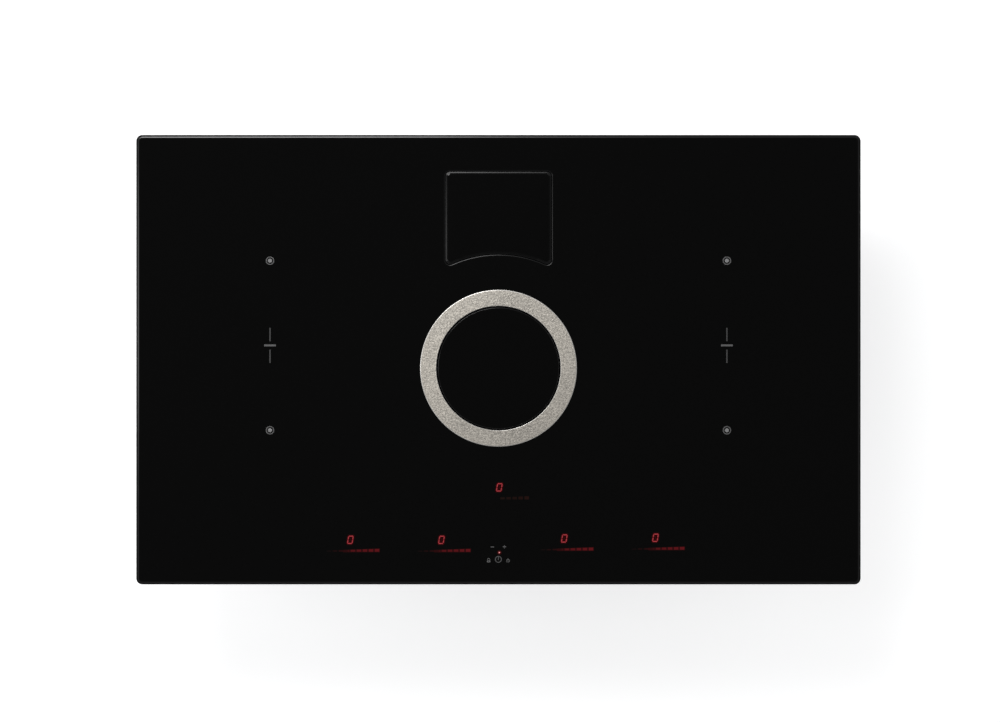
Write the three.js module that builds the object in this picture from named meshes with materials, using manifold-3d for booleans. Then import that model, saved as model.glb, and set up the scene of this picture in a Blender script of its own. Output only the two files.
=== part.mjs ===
// Built-in induction hob, 83 cm wide, with a central downdraft extractor and a built-in kitchen scale.
// Millimetres. +X is to the right, +Y is towards the wall, +Z is up. The hob stands on the flat underside
// of its extractor at Z = 0, and X = 0, Y = 0 is the middle of the glass.

import * as THREE from 'three';
import { mergeVertices } from 'three/addons/utils/BufferGeometryUtils.js';
import Module from 'manifold-3d';

const wasm = await Module();
wasm.setup();

// ---------------------------------------------------------------------------------------------------
// Driving dimensions
// ---------------------------------------------------------------------------------------------------

// General
const HEIGHT_UNDER_GLASS = 219; // from the foot to the underside of the glass
const FIT_GAP = 0.3; // running or seating gap between pieces that are not bonded
const PLASTIC_WALL = 2.5; // wall of the moulded air boxes, collar and wells
const SHEET_STEEL = 1.2; // wall of the casing

// Glass plate with a ground upper edge
const GLASS_LENGTH = 830;
const GLASS_WIDTH = 515;
const GLASS_THICKNESS = 4;
const GLASS_CORNER_RADIUS = 7;
const EDGE_WIDTH = 3.5; // how far the ground edge reaches in over the top face
const EDGE_DEPTH = 2;

// Foam tape between the glass and the worktop
const TAPE_WIDTH = 9;
const TAPE_THICKNESS = 2;
const TAPE_INSET = 1.5; // from the edge of the glass

// Casing, a steel tray that drops into the worktop cut-out
const CASING_MARGIN = 13; // from the edge of the glass to the casing, all round
const CASING_DEPTH = 56;
const CASING_CORNER_RADIUS = 12;
const VENT_SLOT_WIDTH = 4;
const VENT_SLOT_PITCH = 9;
const VENT_SLOT_COUNT = 6;
const VENT_SLOT_LENGTH = 62;

// Springs on the casing that grip the cut-out
const SPRING_LENGTH = 34;
const SPRING_HEIGHT = 30;
const SPRING_BEND_DROP = 18; // from the top of a spring to its bend
const SPRING_REACH = 3.5; // how far a spring stands out from the casing
const SPRING_SHEET = 1;
const SPRING_TOP_DROP = 12; // from the underside of the glass to the top of a spring
const SPRING_END_GAP = 94.5; // from the middle of a spring to the front or rear of the casing

// Intake: hole, ring and seal
const INTAKE_Y = -9.7;
const INTAKE_HOLE_DIAMETER = 168;
const RING_OUTER_DIAMETER = 180.3;
const RING_INNER_DIAMETER = 142.4;
const RING_FLANGE_THICKNESS = 2;
const RING_CHAMFER = 0.6;
const RING_HOLE_CLEARANCE = 1; // from the skirt of the ring to the hole in the glass
const RING_SKIRT_DEPTH = 20; // from the top of the glass to the bottom of the skirt
const RING_SEAL_THICKNESS = 0.7;
const RING_SEAL_WIDTH = 4;
const RING_SEAL_INSET = 1;

// Flap that tilts in the ring
const FLAP_GAP = 1.7; // from the flap to the ring, all round
const FLAP_STEP = 1; // from the top of the ring down to the top of the flap
const FLAP_GLASS_THICKNESS = 4;
const FLAP_CARRIER_THICKNESS = 4;
const FLAP_CARRIER_INSET = 2.5;
const FLAP_AXIS_DEPTH = 3.5; // from the underside of the carrier plate to the pivot axis
const FLAP_BOSS_LENGTH = 20;
const FLAP_BOSS_WIDTH = 12;
const FLAP_RIB_WIDTH = 3;
const FLAP_RIB_Y = 33; // each side of the pivot axis
const PIN_DIAMETER = 5;
const PIN_IN_RING = 7;
const PIN_IN_CARRIER = 10;

// Collar that carries the grease filter, from the glass down into the air box
const COLLAR_HOLE_MARGIN = 0.5; // collar bore over the hole in the glass
const COLLAR_FLANGE_WIDTH = 10;
const COLLAR_LEDGE_DEPTH = 19; // from the underside of the glass to the ledge
const COLLAR_LEDGE_WIDTH = 9;
const COLLAR_TAIL = 6; // how far the collar reaches below the casing

// Grease filter
const BASKET_DEPTH = 90;
const BASKET_WALL = 2;
const BASKET_CLEARANCE = 1.5; // to the collar
const BASKET_WINDOW_COUNT = 12;
const BASKET_WINDOW_SHARE = 0.62; // open share of the wall between two ribs
const BASKET_WINDOW_HEIGHT = 54;
const BASKET_FLOOR_BAND = 6; // closed band at the foot of the wall
const BASKET_FLOOR_HOLE_DIAMETER = 24;
const BASKET_FLOOR_HOLE_COUNT = 8;
const BASKET_FLOOR_HUB_DIAMETER = 34; // closed middle of the floor
const MESH_THICKNESS = 1.5;
const MESH_HEIGHT = 63;
const GRIP_HEIGHT = 8;
const GRIP_WIDTH = 8;
const GRIP_DROP = 12; // from the ledge down to the top of the grip
const GRIP_BOW = 5; // how far the middle of the grip dips below its ends

// Tray that catches what is spilled through the intake
const TRAY_CLEARANCE = 4; // to the bore of the collar, through which it is lifted out
const TRAY_HEIGHT = 42;
const TRAY_WALL = 2;

// Air box under the casing, measured from the middle of the hob
const BOX_LEFT = 140;
const BOX_RIGHT = 84;
const BOX_FRONT = 150;
const BOX_REAR = 115;
const BOX_CORNER_RADIUS = 10;
const BOX_SHOULDER_X = 40; // where the upper box starts to narrow towards the blower
const BOX_END_RADIUS = 92; // round end of the upper box, over the blower

// Blower with a vertical axis and a spiral case
const BLOWER_X = 212;
const BLOWER_Y = -20;
const OUTLET_WIDTH = 222;
const OUTLET_HEIGHT = 89;
const OUTLET_Y = 150;
const SPIGOT_LENGTH = 60;
const SPIGOT_FLANGE_WIDTH = 9;
const SPIGOT_FLANGE_THICKNESS = 3;
const SPIRAL_GAP = 6; // from the impeller to the start of the spiral
const SPIRAL_GROWTH = 52; // how much the radius grows to the outlet
const SPIRAL_TONGUE_ANGLE = 52; // degrees from +X
const EYE_DIAMETER = 140;
const EYE_LIP_HEIGHT = 5;
const IMPELLER_DIAMETER = 184;
const IMPELLER_HEIGHT = 70;
const IMPELLER_PLATE = 2;
const IMPELLER_BLADE_COUNT = 22;
const IMPELLER_BLADE_DEPTH = 16;
const IMPELLER_BLADE_THICKNESS = 1.2;
const IMPELLER_BLADE_SWEEP = 12; // degrees from root to tip
const IMPELLER_TIP_INSET = 1; // from the tip of a blade to the edge of the plate
const IMPELLER_RIM_WIDTH = 5;
const IMPELLER_FLOOR_GAP = 8;
const MOTOR_DIAMETER = 80;
const MOTOR_HEIGHT = 52;
const MOTOR_CONE_GAP = 7; // from the motor to the cone of the impeller
const MOTOR_FOOT_WIDTH = 12;
const MOTOR_FOOT_THICKNESS = 3;
const SHAFT_DIAMETER = 8;
const SHAFT_IN_MOTOR = 25;
const HUB_DIAMETER = 22;
const HUB_HEIGHT = 12;

// Scale: plate in the glass, its spider, the load cell and the well round them
const SCALE_WIDTH = 121;
const SCALE_REAR_MARGIN = 42.3; // from the rear edge of the glass to the plate
const SCALE_ARC_RADIUS = 131; // hollow front edge, concentric with the ring
const SCALE_CORNER_RADIUS = 5;
const SCALE_GAP = 1;
const SCALE_CHAMFER = 0.5;
const SCALE_TRAVEL = 0.5;
const SPIDER_THICKNESS = 4;
const SPIDER_INSET = 5;
const SPIDER_BOSS_SIZE = 16;
const SPIDER_BOSS_HEIGHT = 4;
const CELL_LENGTH = 76;
const CELL_SECTION = 12.7;
const CELL_HOLE_DIAMETER = 9;
const CELL_HOLE_SPACING = 12;
const CELL_END = 18; // clamped length at each end
const CELL_PAD_HEIGHT = 3;
const WELL_MARGIN = 4; // from the cut-out to the inside of the well
const WELL_FLANGE_WIDTH = 7;

// Cooking zones, two bridge pairs: the coil tray of a side fills its space, and two coils fill the tray
const COIL_TRAY_INNER_X = 146; // from the middle of the hob to the tray
const COIL_TRAY_SIDE_GAP = 24; // from the tray to the side of the casing
const COIL_TRAY_REAR_GAP = 30; // from the tray to the rear of the casing
const COIL_TRAY_FRONT_GAP = 6; // from the tray to the touch control
const COIL_TRAY_SHEET = 1.5;
const COIL_TRAY_MARGIN = 6; // coil tray beyond the carriers
const CARRIER_SPACING = 4.5; // between the two carriers of a side
const COIL_CORNER_RADIUS = 60;
const COIL_BAND = 72; // width of the winding
const COIL_THICKNESS = 4;
const CARRIER_THICKNESS = 3;
const CARRIER_MARGIN = 3; // carrier beyond the winding
const CARRIER_HOLE_DIAMETER = 26; // for the temperature probe
const FERRITE_THICKNESS = 5;
const FERRITE_COUNT = 6;
const FERRITE_WIDTH = 14;
const FERRITE_INSET = 8; // from the long side of the winding to the tip of a ray
const FERRITE_RING_WIDTH = 10;
const INSULATION_THICKNESS = 1.5;
const INSULATION_MARGIN = 2; // insulation beyond the carriers

// Power electronics, one set a side: the board lies under the coil tray, in front of the fan
const BOARD_SIDE_GAP = 21; // from the board to the side of the coil tray
const BOARD_FRONT_GAP = 27; // from the board to the front of the coil tray
const BOARD_FAN_GAP = 30;
const BOARD_THICKNESS = 1.6;
const POST_HEIGHT = 6;
const POST_DIAMETER = 8;
const POST_INSET = 8;
const SINK_WIDTH = 64;
const SINK_END_GAP = 35; // from the heat sink to the end of the board
const SINK_HEIGHT = 24;
const SINK_BASE = 4;
const SINK_FIN = 1.6;
const SINK_FIN_COUNT = 9;
const FAN_SIZE = 80;
const FAN_DEPTH = 25;
const FAN_REAR_GAP = 39.5; // from the fan to the rear of the casing
const FAN_WALL = 2;
const FAN_ROTOR_GAP = 1;
const FAN_HUB_DIAMETER = 34;
const FAN_BLADE_COUNT = 7;
const FAN_BLADE_THICKNESS = 1.6;
const FAN_BLADE_CHORD = 20;
const FAN_BLADE_PITCH = 38; // degrees from the plane of the fan
const FAN_STRUT_WIDTH = 4;
const FAN_STRUT_THICKNESS = 3;
const FAN_POST_DIAMETER = 6;

// Touch control under the front edge
const CONTROL_LENGTH = 460;
const CONTROL_WIDTH = 50;
const CONTROL_FRONT_GAP = 6.5; // from the holder to the front of the casing
const CONTROL_BOARD_THICKNESS = 1.6;
const HOLDER_HEIGHT = 5;
const HOLDER_WALL = 2;
const DISPLAY_WINDOW_LENGTH = 56;
const DISPLAY_WINDOW_WIDTH = 32;
const DISPLAY_PITCH = 92;
const DISPLAY_COUNT = 5;

// Mains connection under the casing
const TERMINAL_SIDE_GAP = 72; // from the box to the side of the casing
const TERMINAL_REAR_GAP = 14.5; // from the box to the rear of the casing
const TERMINAL_LENGTH = 90;
const TERMINAL_WIDTH = 60;
const TERMINAL_HEIGHT = 30;
const GLAND_DIAMETER = 22;
const GLAND_BORE = 11;
const GLAND_LENGTH = 14;
const GLAND_HEX = 26;
const GLAND_HEX_LENGTH = 5;

// Smoothness of the solids
const RING_SEGMENTS = 60;
const ROUND_SEGMENTS = 30;
const SMALL_SEGMENTS = 16;
const EDGE_FACETS = 2; // facets of the ground edge of the glass
const CORNER_SEGMENTS = 2; // half the facets of a rounded corner
const ARC_SEGMENTS = 5; // half the facets of a long arc
const SPIRAL_SEGMENTS = 32;
const IMPELLER_BLADE_STEPS = 2;
const WELD = 1e-4; // vertices closer than this are one
const CUT_PAST = 5; // how far a cutting body runs past the face that it cuts

// ---------------------------------------------------------------------------------------------------
// Levels and radii that several pieces share
// ---------------------------------------------------------------------------------------------------

const glassBottom = HEIGHT_UNDER_GLASS;
const glassTop = glassBottom + GLASS_THICKNESS;
const casingBottom = glassBottom - CASING_DEPTH;
const casingFloor = casingBottom + SHEET_STEEL;
const casingLength = GLASS_LENGTH - 2 * CASING_MARGIN;
const casingWidth = GLASS_WIDTH - 2 * CASING_MARGIN;
const springY = casingWidth / 2 - SPRING_END_GAP;

const holeRadius = INTAKE_HOLE_DIAMETER / 2;
const ringOuterRadius = RING_OUTER_DIAMETER / 2;
const ringInnerRadius = RING_INNER_DIAMETER / 2;
const ringBottom = glassTop - RING_SKIRT_DEPTH;
const ringFlangeBottom = glassTop + RING_SEAL_THICKNESS;
const ringTop = ringFlangeBottom + RING_FLANGE_THICKNESS;

const flapRadius = ringInnerRadius - FLAP_GAP;
const flapTop = ringTop - FLAP_STEP;
const flapGlassBottom = flapTop - FLAP_GLASS_THICKNESS;
const flapCarrierBottom = flapGlassBottom - FLAP_CARRIER_THICKNESS;
const flapAxisZ = flapCarrierBottom - FLAP_AXIS_DEPTH;
const pinRadius = PIN_DIAMETER / 2;

const collarRadius = holeRadius + COLLAR_HOLE_MARGIN;
const ledgeRadius = collarRadius - COLLAR_LEDGE_WIDTH;
const ledgeTop = glassBottom - COLLAR_LEDGE_DEPTH;
const collarTailRadius = ledgeRadius + PLASTIC_WALL;
const basketRadius = ledgeRadius - BASKET_CLEARANCE;
const basketInnerRadius = basketRadius - BASKET_WALL;
const basketBottom = ledgeTop - BASKET_DEPTH;

const scrollCeiling = OUTLET_HEIGHT - PLASTIC_WALL;
const spiralStart = IMPELLER_DIAMETER / 2 + SPIRAL_GAP;
const spiralEnd = spiralStart + SPIRAL_GROWTH;
const impellerBottom = PLASTIC_WALL + IMPELLER_FLOOR_GAP;
const impellerTop = impellerBottom + IMPELLER_HEIGHT;
const motorTop = PLASTIC_WALL + MOTOR_HEIGHT;
const hubBottom = motorTop + MOTOR_CONE_GAP;
const shaftRadius = SHAFT_DIAMETER / 2;

const scaleRearY = GLASS_WIDTH / 2 - SCALE_REAR_MARGIN;

const controlY = -(casingWidth / 2 - CONTROL_FRONT_GAP - CONTROL_WIDTH / 2);
const trayFrontY = controlY + CONTROL_WIDTH / 2 + COIL_TRAY_FRONT_GAP;
const trayRearY = casingWidth / 2 - COIL_TRAY_REAR_GAP;
const trayOuterX = casingLength / 2 - COIL_TRAY_SIDE_GAP;
const trayLength = trayOuterX - COIL_TRAY_INNER_X;
const zoneX = (COIL_TRAY_INNER_X + trayOuterX) / 2;
const carrierLength = trayLength - 2 * COIL_TRAY_MARGIN;
const carrierWidth = (trayRearY - trayFrontY - 2 * COIL_TRAY_MARGIN - CARRIER_SPACING) / 2;
const coilLength = carrierLength - 2 * CARRIER_MARGIN;
const coilWidth = carrierWidth - 2 * CARRIER_MARGIN;
const zoneRearY = trayRearY - COIL_TRAY_MARGIN - carrierWidth / 2;
const zoneFrontY = trayFrontY + COIL_TRAY_MARGIN + carrierWidth / 2;
const ferriteReach = coilWidth / 2 - FERRITE_INSET;

const terminalX = -(casingLength / 2 - TERMINAL_SIDE_GAP - TERMINAL_LENGTH / 2);
const terminalY = casingWidth / 2 - TERMINAL_REAR_GAP - TERMINAL_WIDTH / 2;

const fanY = casingWidth / 2 - FAN_REAR_GAP - FAN_SIZE / 2;
const boardFrontY = trayFrontY + BOARD_FRONT_GAP;
const boardRearY = fanY - FAN_SIZE / 2 - BOARD_FAN_GAP;
const boardY = (boardFrontY + boardRearY) / 2;
const boardWidth = trayLength - 2 * BOARD_SIDE_GAP;
const sinkLength = boardRearY - boardFrontY - 2 * SINK_END_GAP;

const coilTop = glassBottom - INSULATION_THICKNESS;
const coilBottom = coilTop - COIL_THICKNESS;
const carrierBottom = coilBottom - CARRIER_THICKNESS;
const ferriteBottom = carrierBottom - FERRITE_THICKNESS;
const coilTrayBottom = ferriteBottom - COIL_TRAY_SHEET;
const boardBottom = casingFloor + POST_HEIGHT;
const boardTop = boardBottom + BOARD_THICKNESS;

// ---------------------------------------------------------------------------------------------------
// Solids
// ---------------------------------------------------------------------------------------------------

/** Six times the volume inside a triangle mesh, negative where its faces point in. */
function sixVolumes(points, triangles) {
  const [a, b, c] = [new THREE.Vector3(), new THREE.Vector3(), new THREE.Vector3()];
  let sum = 0;
  for (let i = 0; i < triangles.length; i += 3) {
    a.fromArray(points, 3 * triangles[i]);
    b.fromArray(points, 3 * triangles[i + 1]);
    c.fromArray(points, 3 * triangles[i + 2]);
    sum += a.dot(b.cross(c));
  }
  return sum;
}

/** The solid that a closed geometry bounds, ready to be joined or cut. */
function solid(geometry) {
  const bare = geometry.clone();
  bare.deleteAttribute('normal');
  bare.deleteAttribute('uv');
  const welded = mergeVertices(bare, WELD);
  const vertProperties = new Float32Array(welded.attributes.position.array);
  const index = welded.index.array;
  const corners = [];
  for (let i = 0; i < index.length; i += 3) {
    const [a, b, c] = [index[i], index[i + 1], index[i + 2]];
    if (a !== b && b !== c && c !== a) corners.push(a, b, c);
  }
  if (sixVolumes(vertProperties, corners) < 0) corners.reverse();
  const triVerts = new Uint32Array(corners);
  return new wasm.Manifold(new wasm.Mesh({ numProp: 3, vertProperties, triVerts }));
}

/** A named mesh of a solid, with its own material. */
function piece(name, body, color, roughness, metalness) {
  const { vertProperties, triVerts } = body.getMesh();
  const geometry = new THREE.BufferGeometry();
  geometry.setAttribute('position', new THREE.BufferAttribute(vertProperties, 3));
  geometry.setIndex(new THREE.BufferAttribute(triVerts, 1));
  geometry.computeVertexNormals();
  const mesh = new THREE.Mesh(geometry, new THREE.MeshStandardMaterial({ color, roughness, metalness }));
  mesh.name = name;
  return mesh;
}

/** An outline that stands upright from one level to another. */
function prism(shape, bottom, top, curveSegments = CORNER_SEGMENTS) {
  const options = { depth: top - bottom, bevelEnabled: false, curveSegments };
  return solid(new THREE.ExtrudeGeometry(shape, options).translate(0, 0, bottom));
}

/** A box between two corners. */
function block(x0, x1, y0, y1, z0, z1) {
  const geometry = new THREE.BoxGeometry(x1 - x0, y1 - y0, z1 - z0);
  return solid(geometry.translate((x0 + x1) / 2, (y0 + y1) / 2, (z0 + z1) / 2));
}

/** An upright round bar. */
function bar(radius, bottom, top, x = 0, y = 0, segments = ROUND_SEGMENTS) {
  const geometry = new THREE.CylinderGeometry(radius, radius, top - bottom, segments).rotateX(Math.PI / 2);
  return solid(geometry.translate(x, y, (bottom + top) / 2));
}

/** A round bar that lies along X between two places. */
function barAlongX(radius, x0, x1, z, y = 0) {
  const geometry = new THREE.CylinderGeometry(radius, radius, x1 - x0, SMALL_SEGMENTS).rotateZ(Math.PI / 2);
  return solid(geometry.translate((x0 + x1) / 2, y, z));
}

/** A body of revolution about Z. The profile is a list of [radius, level] that closes on itself. */
function turned(profile, segments = ROUND_SEGMENTS) {
  const points = [...profile, profile[0]].map(([radius, level]) => new THREE.Vector2(radius, level));
  return solid(new THREE.LatheGeometry(points, segments).rotateX(Math.PI / 2));
}

/** A rectangle with round corners, as a Shape or, for a hole, as a Path. */
function roundedRectangle(x0, x1, y0, y1, radius, Outline = THREE.Shape) {
  const outline = new Outline();
  outline.moveTo(x0 + radius, y0);
  outline.absarc(x1 - radius, y0 + radius, radius, -Math.PI / 2, 0);
  outline.absarc(x1 - radius, y1 - radius, radius, 0, Math.PI / 2);
  outline.absarc(x0 + radius, y1 - radius, radius, Math.PI / 2, Math.PI);
  outline.absarc(x0 + radius, y0 + radius, radius, Math.PI, 1.5 * Math.PI);
  return outline;
}

/** A rounded rectangle of a given size round the origin. */
function centredRectangle(length, width, radius, Outline) {
  return roundedRectangle(-length / 2, length / 2, -width / 2, width / 2, radius, Outline);
}

/** An outline through straight corners. */
function polygon(points) {
  return new THREE.Shape(points.map(([x, y]) => new THREE.Vector2(x, y)));
}

/** A glass plate whose upper edge is ground off in a few facets, over a given width and depth. */
function groundPlate(shape, width, depth, facets, curveSegments) {
  const geometry = new THREE.ExtrudeGeometry(shape, {
    depth: GLASS_THICKNESS - depth + CUT_PAST,
    bevelThickness: depth,
    bevelSize: width,
    bevelOffset: -width,
    bevelSegments: facets,
    curveSegments,
  });
  const reach = Math.max(GLASS_LENGTH, GLASS_WIDTH);
  const above = block(-reach, reach, -reach, reach, glassBottom, glassTop + CUT_PAST);
  return solid(geometry.translate(0, 0, glassBottom - CUT_PAST)).intersect(above);
}

/** A cutting body for a slot through the glass whose upper edge is chamfered. */
function groundSlot(outlineAt, chamfer, curveSegments) {
  const flare = chamfer + FIT_GAP;
  const taper = 2 * flare;
  const mouth = new THREE.ExtrudeGeometry(outlineAt(flare), {
    depth: CUT_PAST,
    bevelThickness: taper,
    bevelSize: taper,
    bevelOffset: -taper,
    bevelSegments: 1,
    curveSegments,
  });
  const throat = prism(outlineAt(0), glassBottom - CUT_PAST, glassTop + CUT_PAST / 2, curveSegments);
  return throat.add(solid(mouth.translate(0, 0, glassTop + FIT_GAP)));
}

/** Copies of a body turned about Z in equal steps. */
function aroundZ(count, make) {
  return Array.from({ length: count }, (_, i) => make((2 * Math.PI * i) / count));
}

/** A group at a place, holding the given pieces. */
function assembly(x, y, z, pieces) {
  const group = new THREE.Group();
  group.position.set(x, y, z);
  group.add(...pieces);
  return group;
}

// ---------------------------------------------------------------------------------------------------
// Glass and the tape under it
// ---------------------------------------------------------------------------------------------------

/**
 * Outline of the scale plate, grown by a margin. Its front edge is hollow and concentric with the
 * intake, and its four corners are rounded.
 */
function scaleOutline(margin) {
  const half = SCALE_WIDTH / 2 + margin;
  const rear = scaleRearY + margin;
  const radius = SCALE_ARC_RADIUS - margin;
  const corner = SCALE_CORNER_RADIUS + margin;
  const cornerX = half - corner;
  const rise = Math.sqrt((radius + corner) ** 2 - cornerX ** 2);
  const cornerY = INTAKE_Y + rise;
  const inward = Math.atan2(-rise, cornerX); // from the left corner's centre to the middle of the intake
  const start = Math.atan2(rise, -cornerX);
  const shape = new THREE.Shape();
  shape.moveTo(-half, cornerY);
  shape.absarc(-cornerX, cornerY, corner, Math.PI, 2 * Math.PI + inward);
  shape.absarc(0, INTAKE_Y, radius, start, Math.PI - start, true);
  shape.absarc(cornerX, cornerY, corner, -Math.PI - inward, 0);
  shape.absarc(cornerX, rear - corner, corner, 0, Math.PI / 2);
  shape.absarc(-cornerX, rear - corner, corner, Math.PI / 2, Math.PI);
  return shape;
}

function glassTopPiece() {
  const shape = centredRectangle(GLASS_LENGTH, GLASS_WIDTH, GLASS_CORNER_RADIUS);
  const plate = groundPlate(shape, EDGE_WIDTH, EDGE_DEPTH, EDGE_FACETS, CORNER_SEGMENTS);
  const hole = bar(holeRadius, glassBottom - CUT_PAST, glassTop + CUT_PAST, 0, INTAKE_Y, RING_SEGMENTS);
  const outlineAt = (extra) => scaleOutline(SCALE_GAP + extra);
  const slot = groundSlot(outlineAt, SCALE_CHAMFER, ARC_SEGMENTS);
  return piece('glass_top', plate.subtract(hole).subtract(slot), 0x0b0b0c, 0.08, 0);
}

function worktopTapePiece() {
  const outerLength = GLASS_LENGTH - 2 * TAPE_INSET;
  const outerWidth = GLASS_WIDTH - 2 * TAPE_INSET;
  const shape = centredRectangle(outerLength, outerWidth, GLASS_CORNER_RADIUS);
  const inner = centredRectangle(
    outerLength - 2 * TAPE_WIDTH,
    outerWidth - 2 * TAPE_WIDTH,
    GLASS_CORNER_RADIUS,
    THREE.Path,
  );
  shape.holes.push(inner);
  return piece('worktop_tape', prism(shape, glassBottom - TAPE_THICKNESS, glassBottom), 0x1a1a1a, 0.95, 0);
}

// ---------------------------------------------------------------------------------------------------
// Intake: ring, seal, flap, filter, drip tray and collar, about the axis of the intake
// ---------------------------------------------------------------------------------------------------

function intakeRingPiece() {
  const skirtRadius = holeRadius - RING_HOLE_CLEARANCE;
  const profile = [
    [ringInnerRadius, ringBottom],
    [skirtRadius, ringBottom],
    [skirtRadius, ringFlangeBottom],
    [ringOuterRadius, ringFlangeBottom],
    [ringOuterRadius, ringTop - RING_CHAMFER],
    [ringOuterRadius - RING_CHAMFER, ringTop],
    [ringInnerRadius + RING_CHAMFER, ringTop],
    [ringInnerRadius, ringTop - RING_CHAMFER],
  ];
  const bore = barAlongX(
    pinRadius + FIT_GAP,
    -ringInnerRadius - PIN_IN_RING - FIT_GAP,
    ringInnerRadius + PIN_IN_RING + FIT_GAP,
    flapAxisZ,
  );
  return piece('intake_ring', turned(profile, RING_SEGMENTS).subtract(bore), 0xa9a299, 0.38, 1);
}

function ringSealPiece() {
  const outer = ringOuterRadius - RING_SEAL_INSET;
  const profile = [
    [outer - RING_SEAL_WIDTH, glassTop],
    [outer, glassTop],
    [outer, ringFlangeBottom],
    [outer - RING_SEAL_WIDTH, ringFlangeBottom],
  ];
  return piece('ring_seal', turned(profile), 0x161616, 0.9, 0);
}

function flapPieces() {
  const glass = bar(flapRadius, flapGlassBottom, flapTop, 0, 0, RING_SEGMENTS);
  const plateRadius = flapRadius - FLAP_CARRIER_INSET;
  const bossBottom = flapAxisZ - FLAP_AXIS_DEPTH - pinRadius;
  const bossEnd = Math.sqrt(plateRadius ** 2 - (FLAP_BOSS_WIDTH / 2) ** 2);
  const pinInner = ringInnerRadius - FLAP_GAP - FLAP_CARRIER_INSET - PIN_IN_CARRIER;
  const pinOuter = ringInnerRadius + PIN_IN_RING;
  let carrier = bar(plateRadius, flapCarrierBottom, flapGlassBottom, 0, 0, ROUND_SEGMENTS);
  for (const side of [-1, 1]) {
    const ends = [side * bossEnd, side * (bossEnd - FLAP_BOSS_LENGTH)].sort((a, b) => a - b);
    const half = FLAP_BOSS_WIDTH / 2;
    carrier = carrier.add(block(...ends, -half, half, bossBottom, flapCarrierBottom + FIT_GAP));
    const rib = FLAP_RIB_WIDTH / 2;
    const ribY = side * FLAP_RIB_Y;
    const ribEnd = Math.sqrt(plateRadius ** 2 - (FLAP_RIB_Y + rib) ** 2) - FLAP_CARRIER_INSET;
    const ribTop = flapCarrierBottom + FIT_GAP;
    carrier = carrier.add(block(-ribEnd, ribEnd, ribY - rib, ribY + rib, flapAxisZ, ribTop));
  }
  for (const side of [-1, 1]) {
    const ends = [side * (pinInner - FIT_GAP), side * (plateRadius + CUT_PAST)].sort((a, b) => a - b);
    carrier = carrier.subtract(barAlongX(pinRadius + FIT_GAP, ...ends, flapAxisZ));
  }
  return [
    piece('flap_glass', glass, 0x08080a, 0.06, 0),
    piece('flap_carrier', carrier, 0x1c1c1e, 0.6, 0),
    piece('flap_pin_left', barAlongX(pinRadius, -pinOuter, -pinInner, flapAxisZ), 0xb8b8b8, 0.3, 1),
    piece('flap_pin_right', barAlongX(pinRadius, pinInner, pinOuter, flapAxisZ), 0xb8b8b8, 0.3, 1),
  ];
}

/** Basket that hangs by its flange on the ledge of the collar, with windows in its wall and floor. */
function filterBasketPiece() {
  const flangeRadius = collarRadius - BASKET_CLEARANCE;
  const floorTop = basketBottom + BASKET_WALL;
  let body = turned([
    [0, basketBottom],
    [basketRadius, basketBottom],
    [basketRadius, ledgeTop],
    [flangeRadius, ledgeTop],
    [flangeRadius, ledgeTop + BASKET_WALL],
    [basketInnerRadius, ledgeTop + BASKET_WALL],
    [basketInnerRadius, floorTop],
    [0, floorTop],
  ]);
  const windowBottom = basketBottom + BASKET_FLOOR_BAND;
  const windowWidth = ((2 * Math.PI * basketRadius) / BASKET_WINDOW_COUNT) * BASKET_WINDOW_SHARE;
  for (const window of aroundZ(BASKET_WINDOW_COUNT, (angle) => {
    const geometry = new THREE.BoxGeometry(2 * CUT_PAST, windowWidth, BASKET_WINDOW_HEIGHT);
    geometry.translate(basketRadius - BASKET_WALL / 2, 0, windowBottom + BASKET_WINDOW_HEIGHT / 2);
    return solid(geometry.rotateZ(angle + Math.PI / BASKET_WINDOW_COUNT));
  })) {
    body = body.subtract(window);
  }
  const holeCircle = (basketInnerRadius + BASKET_FLOOR_HUB_DIAMETER / 2) / 2;
  for (const hole of aroundZ(BASKET_FLOOR_HOLE_COUNT, (angle) => bar(
    BASKET_FLOOR_HOLE_DIAMETER / 2,
    basketBottom - CUT_PAST,
    floorTop + CUT_PAST,
    holeCircle * Math.cos(angle),
    holeCircle * Math.sin(angle),
    SMALL_SEGMENTS,
  ))) {
    body = body.subtract(hole);
  }
  return piece('filter_basket', body, 0xb9bcc0, 0.35, 1);
}

/** Fine mesh that lines the basket, drawn as its closed outer form. */
function filterMeshPiece() {
  const outer = basketInnerRadius - FIT_GAP;
  const inner = outer - MESH_THICKNESS;
  const bottom = basketBottom + BASKET_WALL + FIT_GAP;
  const body = turned([
    [0, bottom],
    [outer, bottom],
    [outer, bottom + MESH_HEIGHT],
    [inner, bottom + MESH_HEIGHT],
    [inner, bottom + MESH_THICKNESS],
    [0, bottom + MESH_THICKNESS],
  ]);
  return piece('filter_mesh', body, 0x9aa0a4, 0.45, 1);
}

/** Bowed strap across the basket, by which the filter is lifted out. */
function filterGripPiece() {
  const reach = Math.sqrt((basketInnerRadius - FIT_GAP) ** 2 - (GRIP_WIDTH / 2) ** 2);
  const top = ledgeTop - GRIP_DROP;
  const outline = new THREE.Shape();
  outline.moveTo(-reach, top);
  outline.quadraticCurveTo(0, top - 2 * GRIP_BOW, reach, top);
  outline.lineTo(reach, top - GRIP_HEIGHT);
  outline.quadraticCurveTo(0, top - GRIP_HEIGHT - 2 * GRIP_BOW, -reach, top - GRIP_HEIGHT);
  const geometry = new THREE.ExtrudeGeometry(outline, {
    depth: GRIP_WIDTH,
    bevelEnabled: false,
    curveSegments: ARC_SEGMENTS,
  });
  const body = solid(geometry.rotateX(Math.PI / 2).translate(0, GRIP_WIDTH / 2, 0));
  return piece('filter_grip', body, 0x2a2a2c, 0.5, 0);
}

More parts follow.
